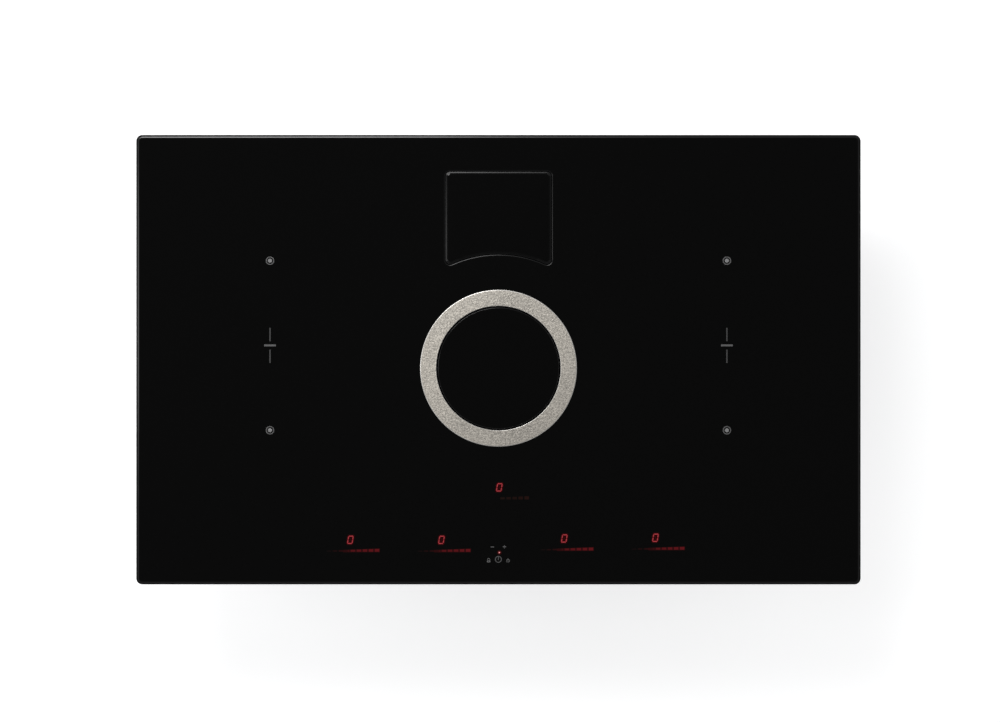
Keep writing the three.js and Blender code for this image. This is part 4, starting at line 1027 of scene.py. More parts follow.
CASING_SCREW = Screw()
COVER_SCREW = Screw(2.7 * MM, 1.4 * MM, 1.5 * MM, 0.7 * MM)
FLANGE_SCREW = Screw(2.7 * MM, 1.5 * MM, 1.5 * MM, 0.7 * MM)
SCROLL_SCREW = Screw(2.4 * MM, 1.4 * MM, 1.4 * MM, 0.7 * MM)
SHEET_RIVET = Rivet()
STUD = Rivet(3 * MM, 0.8 * MM)


# ------------------------------------------------------------------------------------------------
# Glass, scale plate and what is printed on the glass
# ------------------------------------------------------------------------------------------------


@dataclass
class GlassTop:
    """The black glass plate with its ground edge, and the scale plate let into it."""

    corner: float = 7 * MM
    intake_y: float = -9.7 * MM
    hole_radius: float = 84 * MM
    scale_half: float = 60.5 * MM
    scale_rear: float = 215.2 * MM
    scale_arc: float = 131 * MM
    scale_corner: float = 5 * MM
    scale_gap: float = 1 * MM
    least_corner: float = 0.5 * MM
    slot_chamfer: float = 1.3 * MM
    plate_bevel: float = 2.8 * MM
    plate_bevel_depth: float = 0.9 * MM
    gentle: float = 0.995  # upright part of the normal of a face that is just not level
    groove: float = 0.955
    steep: float = 0.86
    edge_profile: tuple[Point, ...] = (  # millimetres inward and down from the top edge
        (0.0, 4.0),
        (0.0, 2.2),
        (0.15, 1.8),
        (0.7, 1.1),
        (1.3, 0.62),
        (1.8, 0.3),
        (3.1, 0.05),
        (3.5, 0.0),
    )
    low: Vector = field(default_factory=lambda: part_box("glass_top")[0])
    high: Vector = field(default_factory=lambda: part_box("glass_top")[1])

    def rectangle(self, margin: float) -> Outline:
        """Outline of the glass, drawn in by a margin.

        Args:
            margin: how far it is drawn in.

        Returns:
            The points, counterclockwise.
        """
        corner = max(self.corner - margin, self.least_corner)
        low = (self.low.x + margin, self.low.y + margin)
        high = (self.high.x - margin, self.high.y - margin)
        return rounded_rectangle(low, high, corner, 10)

    def hole(self, margin: float) -> Outline:
        """Outline of the hole for the intake, grown by a margin."""
        return circle(0, self.intake_y, self.hole_radius + margin, 128)

    def scale_outline(self, margin: float) -> Outline:
        """Outline of the scale plate, grown by a margin, with its hollow front edge.

        Args:
            margin: how far the outline grows.

        Returns:
            The points, counterclockwise.
        """
        half = self.scale_half + margin
        radius = self.scale_arc - margin
        corner = self.scale_corner + margin
        corner_x = half - corner
        rise = math.sqrt((radius + corner) ** 2 - corner_x**2)
        corner_y = self.intake_y + rise
        inward = math.atan2(-rise, corner_x)
        start = math.atan2(rise, -corner_x)
        rear_y = self.scale_rear + margin - corner
        points = arc(-corner_x, corner_y, corner, math.pi, TURN + inward, 12)
        points += arc(0, self.intake_y, radius, start, math.pi - start, 48)[1:-1]
        points += arc(corner_x, corner_y, corner, -math.pi - inward, 0, 12)
        points += arc(corner_x, rear_y, corner, 0, math.pi / 2, 10)
        points += arc(-corner_x, rear_y, corner, math.pi / 2, math.pi, 10)
        return points

    def slot(self, margin: float) -> Outline:
        """Outline of the slot round the scale plate, grown by a margin."""
        return self.scale_outline(self.scale_gap + margin)

    def scale_edge(self, margin: float) -> Outline:
        """Outline of the scale plate, drawn in by a margin."""
        return self.scale_outline(-margin)

    def slopes(self, gentlest: Finish) -> list[tuple[float, Finish]]:
        """Finishes of the ground faces, the gentlest slope first."""
        return [(self.gentle, gentlest), (self.groove, GROOVE_EDGE), (self.steep, STEEP_EDGE)]

    def plate(self) -> None:
        """Builds the glass with its bevel, the hole of the intake and the slot of the scale."""
        top, chamfer = self.high.z, self.slot_chamfer
        outer = [(margin * MM, top - drop * MM) for margin, drop in self.edge_profile]
        ground = [(0.0, self.low.z), (0.0, top - chamfer / 2), (chamfer, top)]
        slopes = self.slopes(GROUND_EDGE)
        maker = Maker()
        maker.plate([self.rectangle, self.hole, self.slot], [outer, ground, ground])
        maker.piece("glass_plate", GLASS, "hob", ["glass_top"], "glass_black", slopes=slopes)

    def scale(self) -> None:
        """Builds the scale plate."""
        top = self.high.z
        bevel = [(0.0, self.low.z), (0.0, top - self.plate_bevel_depth), (self.plate_bevel, top)]
        slopes = self.slopes(GROOVE_EDGE)
        maker = Maker()
        maker.plate([self.scale_edge], [bevel])
        maker.piece("scale_glass", GLASS, "scale", ["scale_plate"], "glass_black", slopes=slopes)

    def build(self) -> None:
        """Builds the glass and the scale plate."""
        self.plate()
        self.scale()


@dataclass
class Print:
    """Enamel marks on the glass: the cooking zones, their bridges and the touch keys."""

    level: float = field(default_factory=lambda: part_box("glass_top")[1].z)
    thickness: float = 0.04 * MM
    zone_x: float = 261.6 * MM
    zone_rear_y: float = 113.4 * MM
    zone_front_y: float = -80.8 * MM
    dot_diameter: float = 4.6 * MM
    halo_outer: float = 9.6 * MM
    halo_inner: float = 7.4 * MM
    bar_width: float = 1.4 * MM
    bar_spans: tuple[Point, Point] = ((21.2 * MM, 36.5 * MM), (-3.7 * MM, 11.6 * MM))
    dash_length: float = 13.5 * MM
    dash_height: float = 2.2 * MM
    dash_y: float = 16.4 * MM

    def flat(self, maker: Maker, *outlines: Outline) -> None:
        """Adds flat marks."""
        for outline in outlines:
            maker.prism(outline, self.level, self.level + self.thickness)

    def mark(self, name: str, finish: Coat, *outlines: Outline) -> None:
        """Builds a piece out of flat marks.

        Args:
            name: name of the piece.
            finish: its finish.
            outlines: the outline of each mark.
        """
        maker = Maker()
        self.flat(maker, *outlines)
        maker.piece(name, finish, "hob")

    def halo(self, name: str, finish: Coat, at: Point, outer: float, inner: float) -> None:
        """Builds a flat ring round a place, where the piece has its own zero.

        Args:
            name: name of the piece.
            finish: its finish.
            at: its middle.
            outer: its outer diameter.
            inner: its inner diameter.
        """
        level, top = self.level, self.level + self.thickness
        profile = [(inner / 2, level), (outer / 2, level), (outer / 2, top), (inner / 2, top)]
        maker = Maker()
        maker.turned(profile, 48, *at)
        origin = (*at, level) if isinstance(finish, LampGlow) else (0, 0, 0)
        maker.piece(name, finish, "hob", origin=origin)

    def zones(self) -> None:
        """Builds the marks of the four zones and the two bridges."""
        bar, half, rise = self.bar_width / 2, self.dash_length / 2, self.dash_height / 2
        for side, x in (("left", -self.zone_x), ("right", self.zone_x)):
            for place, y in (("rear", self.zone_rear_y), ("front", self.zone_front_y)):
                dot = circle(x, y, self.dot_diameter / 2, 40)
                self.mark(f"zone_dot_{side}_{place}", PRINT_LIGHT, dot)
                name = f"zone_halo_{side}_{place}"
                self.halo(name, PRINT_GREY, (x, y), self.halo_outer, self.halo_inner)
            bars = [box(x - bar, x + bar, y0, y1) for y0, y1 in self.bar_spans]
            self.mark(f"bridge_bars_{side}", PRINT_DIM, *bars)
            dash = box(x - half, x + half, self.dash_y - rise, self.dash_y + rise)
            self.mark(f"bridge_dash_{side}", PRINT_GREY, dash)


@dataclass
class TouchKeys:
    """Small symbols of the touch keys in front of the intake."""

    pen: Print
    stroke: float = 0.95 * MM
    minus_at: Point = (-7.0 * MM, -214.4 * MM)
    plus_at: Point = (6.9 * MM, -214.2 * MM)
    lamp_at: Point = (1.0 * MM, -220.8 * MM)
    lock_at: Point = (-11.2 * MM, -229.7 * MM)
    power_at: Point = (-0.1 * MM, -228.6 * MM)
    timer_at: Point = (11.0 * MM, -230.3 * MM)
    sign_half: float = 1.9 * MM
    upright: float = 0.6 * MM  # width of the upright stroke of the plus
    lamp_diameter: float = 1.5 * MM
    glow_diameter: float = 5.4 * MM
    glow_light: tuple[Color, Color] = ((0.16, 0.006, 0.008), (0.001, 0.0005, 0.0005))
    power_diameter: float = 7.8 * MM
    power_tick: float = 4.5 * MM
    lock_width: float = 3.9 * MM
    lock_height: float = 2.3 * MM
    lock_corner: float = 0.4 * MM
    lock_hole: Point = (0.8 * MM, 1.2 * MM)
    shackle_inset: float = 0.35 * MM  # from the side of the lock
    shackle_rise: float = 0.85 * MM  # from the top of the lock to the middle of the bow
    shackle_stroke: float = 0.65 * MM
    timer_width: float = 3.9 * MM
    timer_height: float = 3.4 * MM
    timer_stroke: float = 0.8 * MM
    timer_corner: float = 1.1 * MM
    crown_width: float = 1.3 * MM
    crown_height: float = 0.9 * MM
    hand_length: float = 1.1 * MM

    def build(self) -> None:
        """Builds every symbol."""
        self.signs()
        self.lamp()
        self.power()
        self.lock()
        self.timer()

    def signs(self) -> None:
        """Builds the minus and the plus."""
        half, thin, slim = self.sign_half, self.stroke / 2, self.upright / 2
        x, y = self.minus_at
        self.pen.mark("key_minus", PRINT_GREY, box(x - half, x + half, y - thin, y + thin))
        x, y = self.plus_at
        cross = [(slim, thin), (slim, half), (-slim, half), (-slim, thin)]
        cross += [(-half, thin), (-half, -thin), (-slim, -thin), (-slim, -half)]
        cross += [(slim, -half), (slim, -thin), (half, -thin), (half, thin)]
        self.pen.mark("key_plus", PRINT_GREY, [(x + dx, y + dy) for dx, dy in cross])

    def lamp(self) -> None:
        """Builds the small red lamp and its glow."""
        spot, wide = self.lamp_diameter, self.glow_diameter
        self.pen.mark("key_lamp", RED_SPOT, circle(*self.lamp_at, spot / 2, 32))
        glow = LampGlow("lamp_glow", *self.glow_light, wide / 2)
        self.pen.halo("key_lamp_glow", glow, self.lamp_at, wide, spot + 2 * CLEAR)

    def power(self) -> None:
        """Builds the ring with a tick from its top to its middle."""
        (x, y), wide, thin = self.power_at, self.power_diameter, self.stroke / 2
        self.pen.halo("key_power_ring", PRINT_KEY, (x, y), wide, wide - 2 * self.stroke)
        top = y + wide / 2
        tick = box(x - thin, x + thin, top - self.power_tick, top - self.stroke - CLEAR)
        self.pen.mark("key_power_tick", PRINT_KEY, tick)

    def lock_body(self, margin: float) -> Outline:
        """Outline of the padlock, drawn in by a margin.

        Args:
            margin: how far it is drawn in.

        Returns:
            The points, counterclockwise.
        """
        (x, y), half = self.lock_at, self.lock_width / 2
        low = (x - half + margin, y - self.lock_height + margin)
        return rounded_rectangle(low, (x + half - margin, y - margin), self.lock_corner, 3)

    def keyhole(self, margin: float) -> Outline:
        """Outline of the keyhole, grown by a margin.

        Args:
            margin: how far it grows.

        Returns:
            The points, counterclockwise.
        """
        x, middle = self.lock_at[0], self.lock_at[1] - self.lock_height / 2
        wide, tall = self.lock_hole[0] / 2, self.lock_hole[1] / 2
        low, high = (x - wide - margin, middle - tall - margin), (x + wide + margin, middle + tall + margin)
        return rounded_rectangle(low, high, wide * 0.9, 4)

    def lock(self) -> None:
        """Builds a padlock with a keyhole."""
        x, y = self.lock_at
        upright = [(0.0, self.pen.level), (0.0, self.pen.level + self.pen.thickness)]
        maker = Maker()
        maker.plate([self.lock_body, self.keyhole], [upright, upright])
        outer = self.lock_width / 2 - self.shackle_inset
        inner = outer - self.shackle_stroke
        bow, foot = y + self.shackle_rise, y + CLEAR
        shackle = arc(x, bow, outer, 0, math.pi, 16) + [(x - outer, foot), (x - inner, foot)]
        shackle += arc(x, bow, inner, math.pi, 0, 16) + [(x + inner, foot), (x + outer, foot)]
        self.pen.flat(maker, shackle)
        maker.piece("key_lock", PRINT_GREY, "hob")

    def timer_frame(self, margin: float) -> Outline:
        """Outline of the kitchen timer, drawn in by a margin.

        Args:
            margin: how far it is drawn in.

        Returns:
            The points, counterclockwise.
        """
        (x, y), half, tall = self.timer_at, self.timer_width / 2, self.timer_height / 2
        low, high = (x - half + margin, y - tall + margin), (x + half - margin, y + tall - margin)
        return rounded_rectangle(low, high, self.timer_corner - 0.9 * margin, 5)

    def timer(self) -> None:
        """Builds a kitchen timer: a rounded frame with a crown on top and one hand."""
        x, y = self.timer_at
        crown, slim, hand = self.crown_width / 2, self.upright / 2, self.hand_length
        level, top = self.pen.level, self.pen.level + self.pen.thickness
        upright = [(0.0, level), (0.0, top)]
        inward = [(self.timer_stroke, level), (self.timer_stroke, top)]
        maker = Maker()
        maker.plate([self.timer_frame, self.timer_frame], [upright, inward])
        head = y + self.timer_height / 2 + CLEAR
        self.pen.flat(maker, box(x - crown, x + crown, head, head + self.crown_height))
        self.pen.flat(maker, box(x - slim, x + slim, y - 0.4 * hand, y + 0.6 * hand))
        maker.piece("key_timer", PRINT_KEY, "hob")


@dataclass
class Displays:
    """Lit red digits under the glass, each with a rising slider bar beside it and painted red glow round both
    on the glass.
    """

    pen: Print
    digit_width: float = 6.4 * MM
    digit_height: float = 9.5 * MM
    stroke: float = 1.2 * MM
    slant: float = 0.17  # sideways shift per unit of height
    joint: float = 0.3 * MM  # gap between two segments
    # reach of the painted red glow round each lit segment
    halo_reach: float = 1.15 * MM
    centre_at: Point = (1.0 * MM, -146.2 * MM)
    zone_digits: tuple[tuple[str, float, float], ...] = (
        ("front_left_outer", -169.6 * MM, -206.2 * MM),
        ("front_left_inner", -65.3 * MM, -206.3 * MM),
        ("front_right_inner", 75.4 * MM, -204.7 * MM),
        ("front_right_outer", 179.8 * MM, -203.9 * MM),
    )
    slider_count: int = 9
    slider_pitch: float = 6.9 * MM
    slider_width: float = 5.1 * MM
    slider_right: float = 33.1 * MM
    slider_drop: float = 13.6 * MM
    slider_light_spill: int = 6  # bars that shine on the glass round them
    slider_light_spill_reach: float = 0.7 * MM
    slider_low: float = 1.3 * MM
    slider_high: float = 3.05 * MM
    slider_light: tuple[Color, Color] = ((0.003, 0.001, 0.001), (0.098, 0.0046, 0.007))
    slider_step: float = 0.48  # share of the row at which the bars turn bright
    centre_count: int = 5
    centre_right: float = 33.9 * MM
    centre_drop: float = 13.8 * MM
    centre_low: float = 2.4 * MM
    centre_high: float = 3.6 * MM
    centre_light: tuple[Color, Color] = ((0.009, 0.003, 0.002), (0.013, 0.003, 0.002))

    def segments(self) -> list[Outline]:
        """Outlines of the six lit segments of a zero, upright, about its middle.

        Returns:
            The two level ones, then the four upright ones.
        """
        w, h, s, g = self.digit_width / 2, self.digit_height / 2, self.stroke, self.joint / 2
        tip = s * 0.55
        outlines = []
        for y in (h, -h):
            inward = -math.copysign(s, y)
            right = [(w - g - tip, y), (w - g - tip / 2, y + inward / 3), (w - s - g, y + inward)]
            left = [(-x, level) for x, level in right]
            outlines.append([left[0], *right, left[2], left[1]])
        for side in (-1, 1):
            for end in (-1, 1):
                x = side * w
                inner = side * (w - s)
                outlines.append(
                    [
                        (x - side * s / 5, end * (h - g - tip)),
                        (x, end * (h - g - s * 0.9)),
                        (x, end * g * 2),
                        (x - side * s / 2, end * g),
                        (inner, end * (s / 2 + g)),
                        (inner, end * (h - s - g)),
                    ]
                )
        return outlines

    def counter(self) -> Outline:
        """Outline of the field inside a zero, which takes painted red glow, upright, about its middle."""
        x, y = self.digit_width / 2 - self.stroke, self.digit_height / 2 - self.stroke
        return [(-x, -y), (x, -y), (x, y), (-x, y)]

    def slanted(self, outline: Outline, at: Point) -> Outline:
        """An upright outline about zero, slanted and moved to its place."""
        return [(at[0] + x + self.slant * y, at[1] + y) for x, y in outline]

    def digit(self, name: str, at: Point) -> None:
        """Builds a zero with painted red glow round its segments and over its inside.

        Args:
            name: name of its place.
            at: its middle.
        """
        lit, halo = Maker(), Maker()
        low, high = self.pen.level, self.pen.level + self.pen.thickness / 2
        # halo is painted glow: dim red light spill on the glass over the inside and round each segment
        halo.prism(self.slanted(self.counter(), at), low, high)
        for outline in self.segments():
            placed = self.slanted(outline, at)
            self.pen.flat(lit, placed)
            halo.prism(offset(counterclockwise(placed), self.halo_reach), low, high)
        lit.piece(f"digit_{name}", RED_DIGIT, "hob")
        halo.piece(f"digit_light_spill_{name}", RED_LIGHT_SPILL, "hob")

    def slider(self, name: str, right: Point, count: int, height: Point, finish: Coat) -> None:
        """Builds a row of bars that rise and brighten to the right.

        Args:
            name: name of its place.
            right: lower right corner of the last bar.
            count: number of bars.
            height: height of the first and of the last bar.
            finish: its finish, which brightens along X from the piece's own zero.
        """
        maker = Maker()
        for i in range(count):
            end = right[0] - (count - 1 - i) * self.slider_pitch
            rise = height[0] + (height[1] - height[0]) * i / (count - 1)
            self.pen.flat(maker, box(end - self.slider_width, end, right[1], right[1] + rise))
        start = right[0] - count * self.slider_pitch
        maker.piece(f"slider_{name}", finish, "hob", origin=(start, right[1], self.pen.level))
        # painted glow: dim red light spill on the glass round the brightest bars
        if count > self.slider_light_spill:
            reach, level = self.slider_light_spill_reach, self.pen.level
            left = right[0] - self.slider_light_spill * self.slider_pitch
            end, foot = right[0] + reach, right[1] - reach
            head, tail = right[1] + height[1] + reach, right[1] + height[0] + reach
            corners = [(left, foot), (end, foot), (end, head), (left, tail)]
            halo = Maker()
            halo.prism(corners, level, level + self.pen.thickness / 2)
            halo.piece(f"slider_light_spill_{name}", RED_LIGHT_SPILL, "hob")

    def build(self) -> None:
        """Builds the five digits and their sliders."""
        self.digit("centre", self.centre_at)
        count, pitch = self.centre_count, self.slider_pitch
        right = (self.centre_at[0] + self.centre_right, self.centre_at[1] - self.centre_drop)
        dim = SliderGlow("slider_glow_dim", *self.centre_light, count * pitch)
        self.slider("centre", right, count, (self.centre_low, self.centre_high), dim)
        count = self.slider_count
        bright = SliderGlow("slider_glow", *self.slider_light, count * pitch, self.slider_step)
        for name, x, y in self.zone_digits:
            self.digit(name, (x, y))
            right = (x + self.slider_right, y - self.slider_drop)
            self.slider(name, right, count, (self.slider_low, self.slider_high), bright)


# ------------------------------------------------------------------------------------------------
# Intake
# ------------------------------------------------------------------------------------------------


@dataclass
class Intake:
    """The blasted metal ring, the glass flap in it and the grease filter below."""

    y: float = -9.7 * MM
    steps: int = 256
    ring_inner: float = 71.2 * MM
    ring_skirt: float = 83 * MM  # outside of the skirt below the flange
    ring_chamfer: float = 0.6 * MM  # at the inner edge
    ring_round: float = 1.05 * MM  # at the outer edge
    ring_inset: float = 0.3 * MM  # of the outer edge inside the solid's
    ring_fall: float = 0.6 * MM  # from the inner to the outer edge of its top
    rim_upright: float = 0.97  # upright part of the normal of a face of the turned rim
    flap_round: float = 0.8 * MM
    broken: float = 0.3 * MM  # lower edges of the ring and the flap
    mesh_steps: int = 96
    wire: float = 0.45 * MM
    wire_rows: int = 26
    wire_uprights: int = 150
    band: float = 2 * MM
    band_thickness: float = 0.8 * MM
    tray_wall: float = 2 * MM
    lip_thickness: float = 1.6 * MM
    lip_inset: float = 0.3 * MM  # into the wall of the tray, and below its mouth

    def ring(self) -> None:
        """Builds the ring with softly broken edges."""
        low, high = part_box("intake_ring")
        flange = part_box("ring_seal")[1].z
        outer = (high.x - low.x) / 2 - self.ring_inset
        inner, skirt, broken = self.ring_inner, self.ring_skirt, self.broken
        profile = [(inner, low.z), (skirt, low.z), (skirt, flange)]
        profile += [(outer - broken, flange), (outer, flange + broken)]
        profile += rounded_edge(outer, high.z - self.ring_fall, -self.ring_round, 8)
        profile += rounded_edge(inner, high.z, self.ring_chamfer, 5)[::-1]
        rim = [(self.rim_upright, RING_RIM)]
        maker = Maker()
        maker.turned(profile, self.steps, 0, self.y)
        maker.piece("ring", RING_METAL, "ring", ["intake_ring"], "ring_metal", slopes=rim)

    def flap(self) -> None:
        """Builds the glass disc of the flap."""
        low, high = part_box("flap_glass")
        radius, broken = (high.x - low.x) / 2, self.broken
        profile = [(0, low.z), (radius - broken, low.z), (radius, low.z + broken)]
        profile += rounded_edge(radius, high.z, -self.flap_round, 6)
        profile.append((0, high.z))
        maker = Maker()
        maker.turned(profile, self.steps, 0, self.y)
        maker.piece("flap_disc", FLAP_GLASS, "flap", ["flap_glass"], "flap_black")

    def mesh(self) -> None:
        """Builds the wire cloth of the filter with its two bands."""
        low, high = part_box("filter_mesh")
        radius, thick, half = (high.x - low.x) / 2, self.band_thickness, self.wire / 2
        maker = Maker()
        for bottom, top in ((low.z, low.z + self.band), (high.z - self.band, high.z)):
            band = [(radius - thick, bottom), (radius, bottom), (radius, top), (radius - thick, top)]
            maker.turned(band, self.mesh_steps, 0, self.y)
        middle = radius - thick / 2
        for i in range(1, self.wire_rows):
            z = low.z + (high.z - low.z) * i / self.wire_rows
            ring = [(middle - half, z - half), (middle + half, z), (middle - half, z + half)]
            maker.turned(ring, self.mesh_steps, 0, self.y)
        for i in range(self.wire_uprights):
            angle = TURN * i / self.wire_uprights
            x, y = middle * math.cos(angle), self.y + middle * math.sin(angle)
            outline = [(x + dx, y + dy) for dx, dy in sided(self.wire * 0.6, 3, 3)]
            maker.prism(outline, low.z + self.band / 2, high.z - self.band / 2)
        maker.piece("filter_wire", MESH_STEEL, "filter", ["filter_mesh"], "mesh_steel")

    def lip(self) -> None:
        """Builds the rolled lip inside the mouth of the drip tray."""
        low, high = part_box("drip_tray")
        inner = (high.x - low.x) / 2 - self.tray_wall
        thick, top = self.lip_thickness, high.z - self.lip_inset
        wall, nose, tip = inner + self.lip_inset, inner - 0.5 * thick, inner - thick
        profile = [(wall, top - 2 * thick), (wall, top), (nose, top)]
        profile += [(tip, top - 0.5 * thick), (tip, top - 1.2 * thick), (nose, top - 1.8 * thick)]
        maker = Maker()
        maker.turned(profile, 128, 0, self.y)
        maker.piece("drip_tray_lip", GREY_PLASTIC, "drip_tray")

    def build(self) -> None:
        """Builds what shows of the intake and dresses the rest."""
        self.ring()
        self.flap()
        dress("ring_seal", SEAL)
        dress("flap_carrier", BLACK_PLASTIC, 0.4 * MM)
        dress("flap_pin_left", DARK_STEEL)
        dress("flap_pin_right", DARK_STEEL)
        dress("filter_basket", FILTER_STEEL, 0.3 * MM)
        self.mesh()
        dress("filter_grip", BLACK_PLASTIC, 1.2 * MM)
        dress("drip_tray", GREY_PLASTIC, 0.5 * MM)
        self.lip()
        dress("intake_collar", BLACK_PLASTIC, 0.4 * MM)


def rounded_edge(radius: float, top: float, inward: float, steps: int) -> list[Point]:
    """Profile points of a quarter round between an upright wall and a flat top.

    Args:
        radius: radius of the wall.
        top: level of the top.
        inward: size of the round, negative where the body lies towards the axis.
        steps: chords of the round.

    Returns:
        (radius, level) points from the wall to the top.
    """
    size = abs(inward)
    points = []
    for i in range(steps + 1):
        angle = math.pi / 2 * i / steps
        points.append((radius + inward * (1 - math.cos(angle)), top - size * (1 - math.sin(angle))))
    return points


# ------------------------------------------------------------------------------------------------
# Below the glass
# ------------------------------------------------------------------------------------------------


@dataclass
class Casing:
    """The steel tray below the glass with its tape, springs, folded corners and pressed beads."""

    low: Vector = field(default_factory=lambda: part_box("base_casing")[0])
    high: Vector = field(default_factory=lambda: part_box("base_casing")[1])
    bead_width: float = 5 * MM
    bead_height: float = 0.9 * MM
    bead_shoulder: float = 1.8 * MM
    wall_bead_up: float = 8 * MM  # from the floor of the tray to the bead round its walls
    corner_clear: float = 26 * MM
    tab_width: float = 17 * MM
    tab_height: float = 42 * MM
    tab_thickness: float = 0.8 * MM
    tab_shoulder: float = 0.25 * MM
    tab_corner: float = 3 * MM
    tab_up: float = 3 * MM  # above the middle of the wall
    tab_rivet: float = 13.02 * MM  # above and below the middle of the tab
    floor_beads: tuple[float, ...] = (-372 * MM, -332 * MM, -262 * MM, -192 * MM, 332 * MM, 372 * MM)
    floor_bead_front: float = -138 * MM
    floor_bead_rear: float = 106 * MM
    stud_x: tuple[float, ...] = (-349 * MM, -175 * MM, 349 * MM)
    stud_y: tuple[float, ...] = (-147 * MM, 87 * MM)
    screw_inset: float = 11 * MM
    screw_guide: Direction = (0.3, 0.2, 1)  # how the recess of a wall screw is turned
    short_wall: tuple[int, float] = (2, 0.5)  # screws, and the share of the wall that they take up
    long_wall: tuple[int, float] = (4, 0.98)
    rim_screws: tuple[float, ...] = (-0.97, -0.5, 0.0, 0.5, 0.97)  # shares of half the length
    spring_y: float = 150 * MM
    spring_rivet_y: float = 9 * MM
    spring_rivet_drop: float = 16 * MM  # from the underside of the glass
    spring_stand: float = 1.6 * MM
    spring_lean: float = 0.14

    def walls(self) -> list[tuple[Vector, Vector, float]]:
        """The four walls.

        Returns:
            For each, its middle at the floor, its outward direction and its length.
        """
        size = self.high - self.low
        floor = self.low.z
        return [
            (Vector((self.high.x, 0, floor)), Vector((1, 0, 0)), size.y),
            (Vector((self.low.x, 0, floor)), Vector((-1, 0, 0)), size.y),
            (Vector((0, self.high.y, floor)), Vector((0, 1, 0)), size.x),
            (Vector((0, self.low.y, floor)), Vector((0, -1, 0)), size.x),
        ]

    def bead(self, length: float) -> Raised:
        """A pressed bead with round ends along +X."""
        return Raised(length, self.bead_width, self.bead_height, self.bead_shoulder)

    def beads(self) -> None:
        """Builds the beads round the walls and under the floor."""
        maker = Maker()
        up = Vector((0, 0, self.wall_bead_up))
        for middle, outward, length in self.walls():
            along = Vector((-outward.y, outward.x, 0))
            bead = self.bead(length - 2 * self.corner_clear)
            maker.moved(bead, seat(middle + up, outward, along))
        bead = self.bead(self.floor_bead_rear - self.floor_bead_front)
        middle_y = (self.floor_bead_rear + self.floor_bead_front) / 2
        for x in self.floor_beads:
            maker.moved(bead, seat((x, middle_y, self.low.z), DOWN, REARWARD))
        maker.piece("casing_beads", CASING_STEEL, "hob", sharp_over=50)

    def tabs(self) -> None:
        """Builds the folded corner tabs, and the rivets of the tabs, the springs and the floor."""
        sheets, rivets = Maker(), Maker()
        thick = self.tab_thickness
        tab = Raised(self.tab_height, self.tab_width, thick, self.tab_shoulder, self.tab_corner)
        height = self.low.z + (self.high.z - self.low.z) / 2 + self.tab_up
        aside = self.corner_clear - self.tab_width / 2
        for x in (self.low.x + aside, self.high.x - aside):
            for y, way in ((self.low.y, -1), (self.high.y, 1)):
                sheets.moved(tab, seat((x, y, height), (0, way, 0)))
                for rise in (-self.tab_rivet, self.tab_rivet):
                    rivets.moved(SHEET_RIVET, seat((x, y + way * thick, height + rise), (0, way, 0)))
        drop = self.high.z - self.spring_rivet_drop
        for side, x in ((-1, self.low.x), (1, self.high.x)):
            for middle in (-self.spring_y, self.spring_y):
                for step in (-self.spring_rivet_y, self.spring_rivet_y):
                    at = (x + side * self.spring_stand, middle + step, drop)
                    rivets.moved(SHEET_RIVET, seat(at, (side, 0, self.spring_lean)))
        for x in self.stud_x:
            for y in self.stud_y:
                rivets.moved(STUD, seat((x, y, self.low.z), DOWN))
        sheets.piece("casing_corner_tabs", CASING_STEEL, "hob")
        rivets.piece("casing_rivets", SCREW_STEEL, "hob", sharp_over=50)

    def screws(self) -> None:
        """Builds the screws in the walls and under the rim of the floor."""
        maker = Maker()
        up = self.high.z - self.screw_inset
        for middle, outward, length in self.walls():
            along = Vector((-outward.y, outward.x, 0))
            count, share = self.short_wall if outward.x else self.long_wall
            for i in range(count):
                at = middle + along * length * ((i + 0.5) / count - 0.5) * share
                at.z = up
                maker.moved(CASING_SCREW, seat(at, outward, self.screw_guide))
        for x in self.rim_screws:
            for y in (self.low.y + self.screw_inset, self.high.y - self.screw_inset):
                place = seat((x * self.high.x, y, self.low.z), DOWN, (1, 0.4 + x, 0))
                maker.moved(CASING_SCREW, place)
        maker.piece("casing_screws", SCREW_STEEL, "hob", sharp_over=40)

    def build(self) -> None:
        """Dresses the casing and builds its sheet metal details."""
        dress("base_casing", CASING_STEEL, 0.5 * MM)
        dress("worktop_tape", FOAM)
        for side in ("left", "right"):
            for place in ("front", "rear"):
                dress(f"side_spring_{side}_{place}", SPRING_STEEL, 0.2 * MM)
        self.beads()
        self.tabs()
        self.screws()


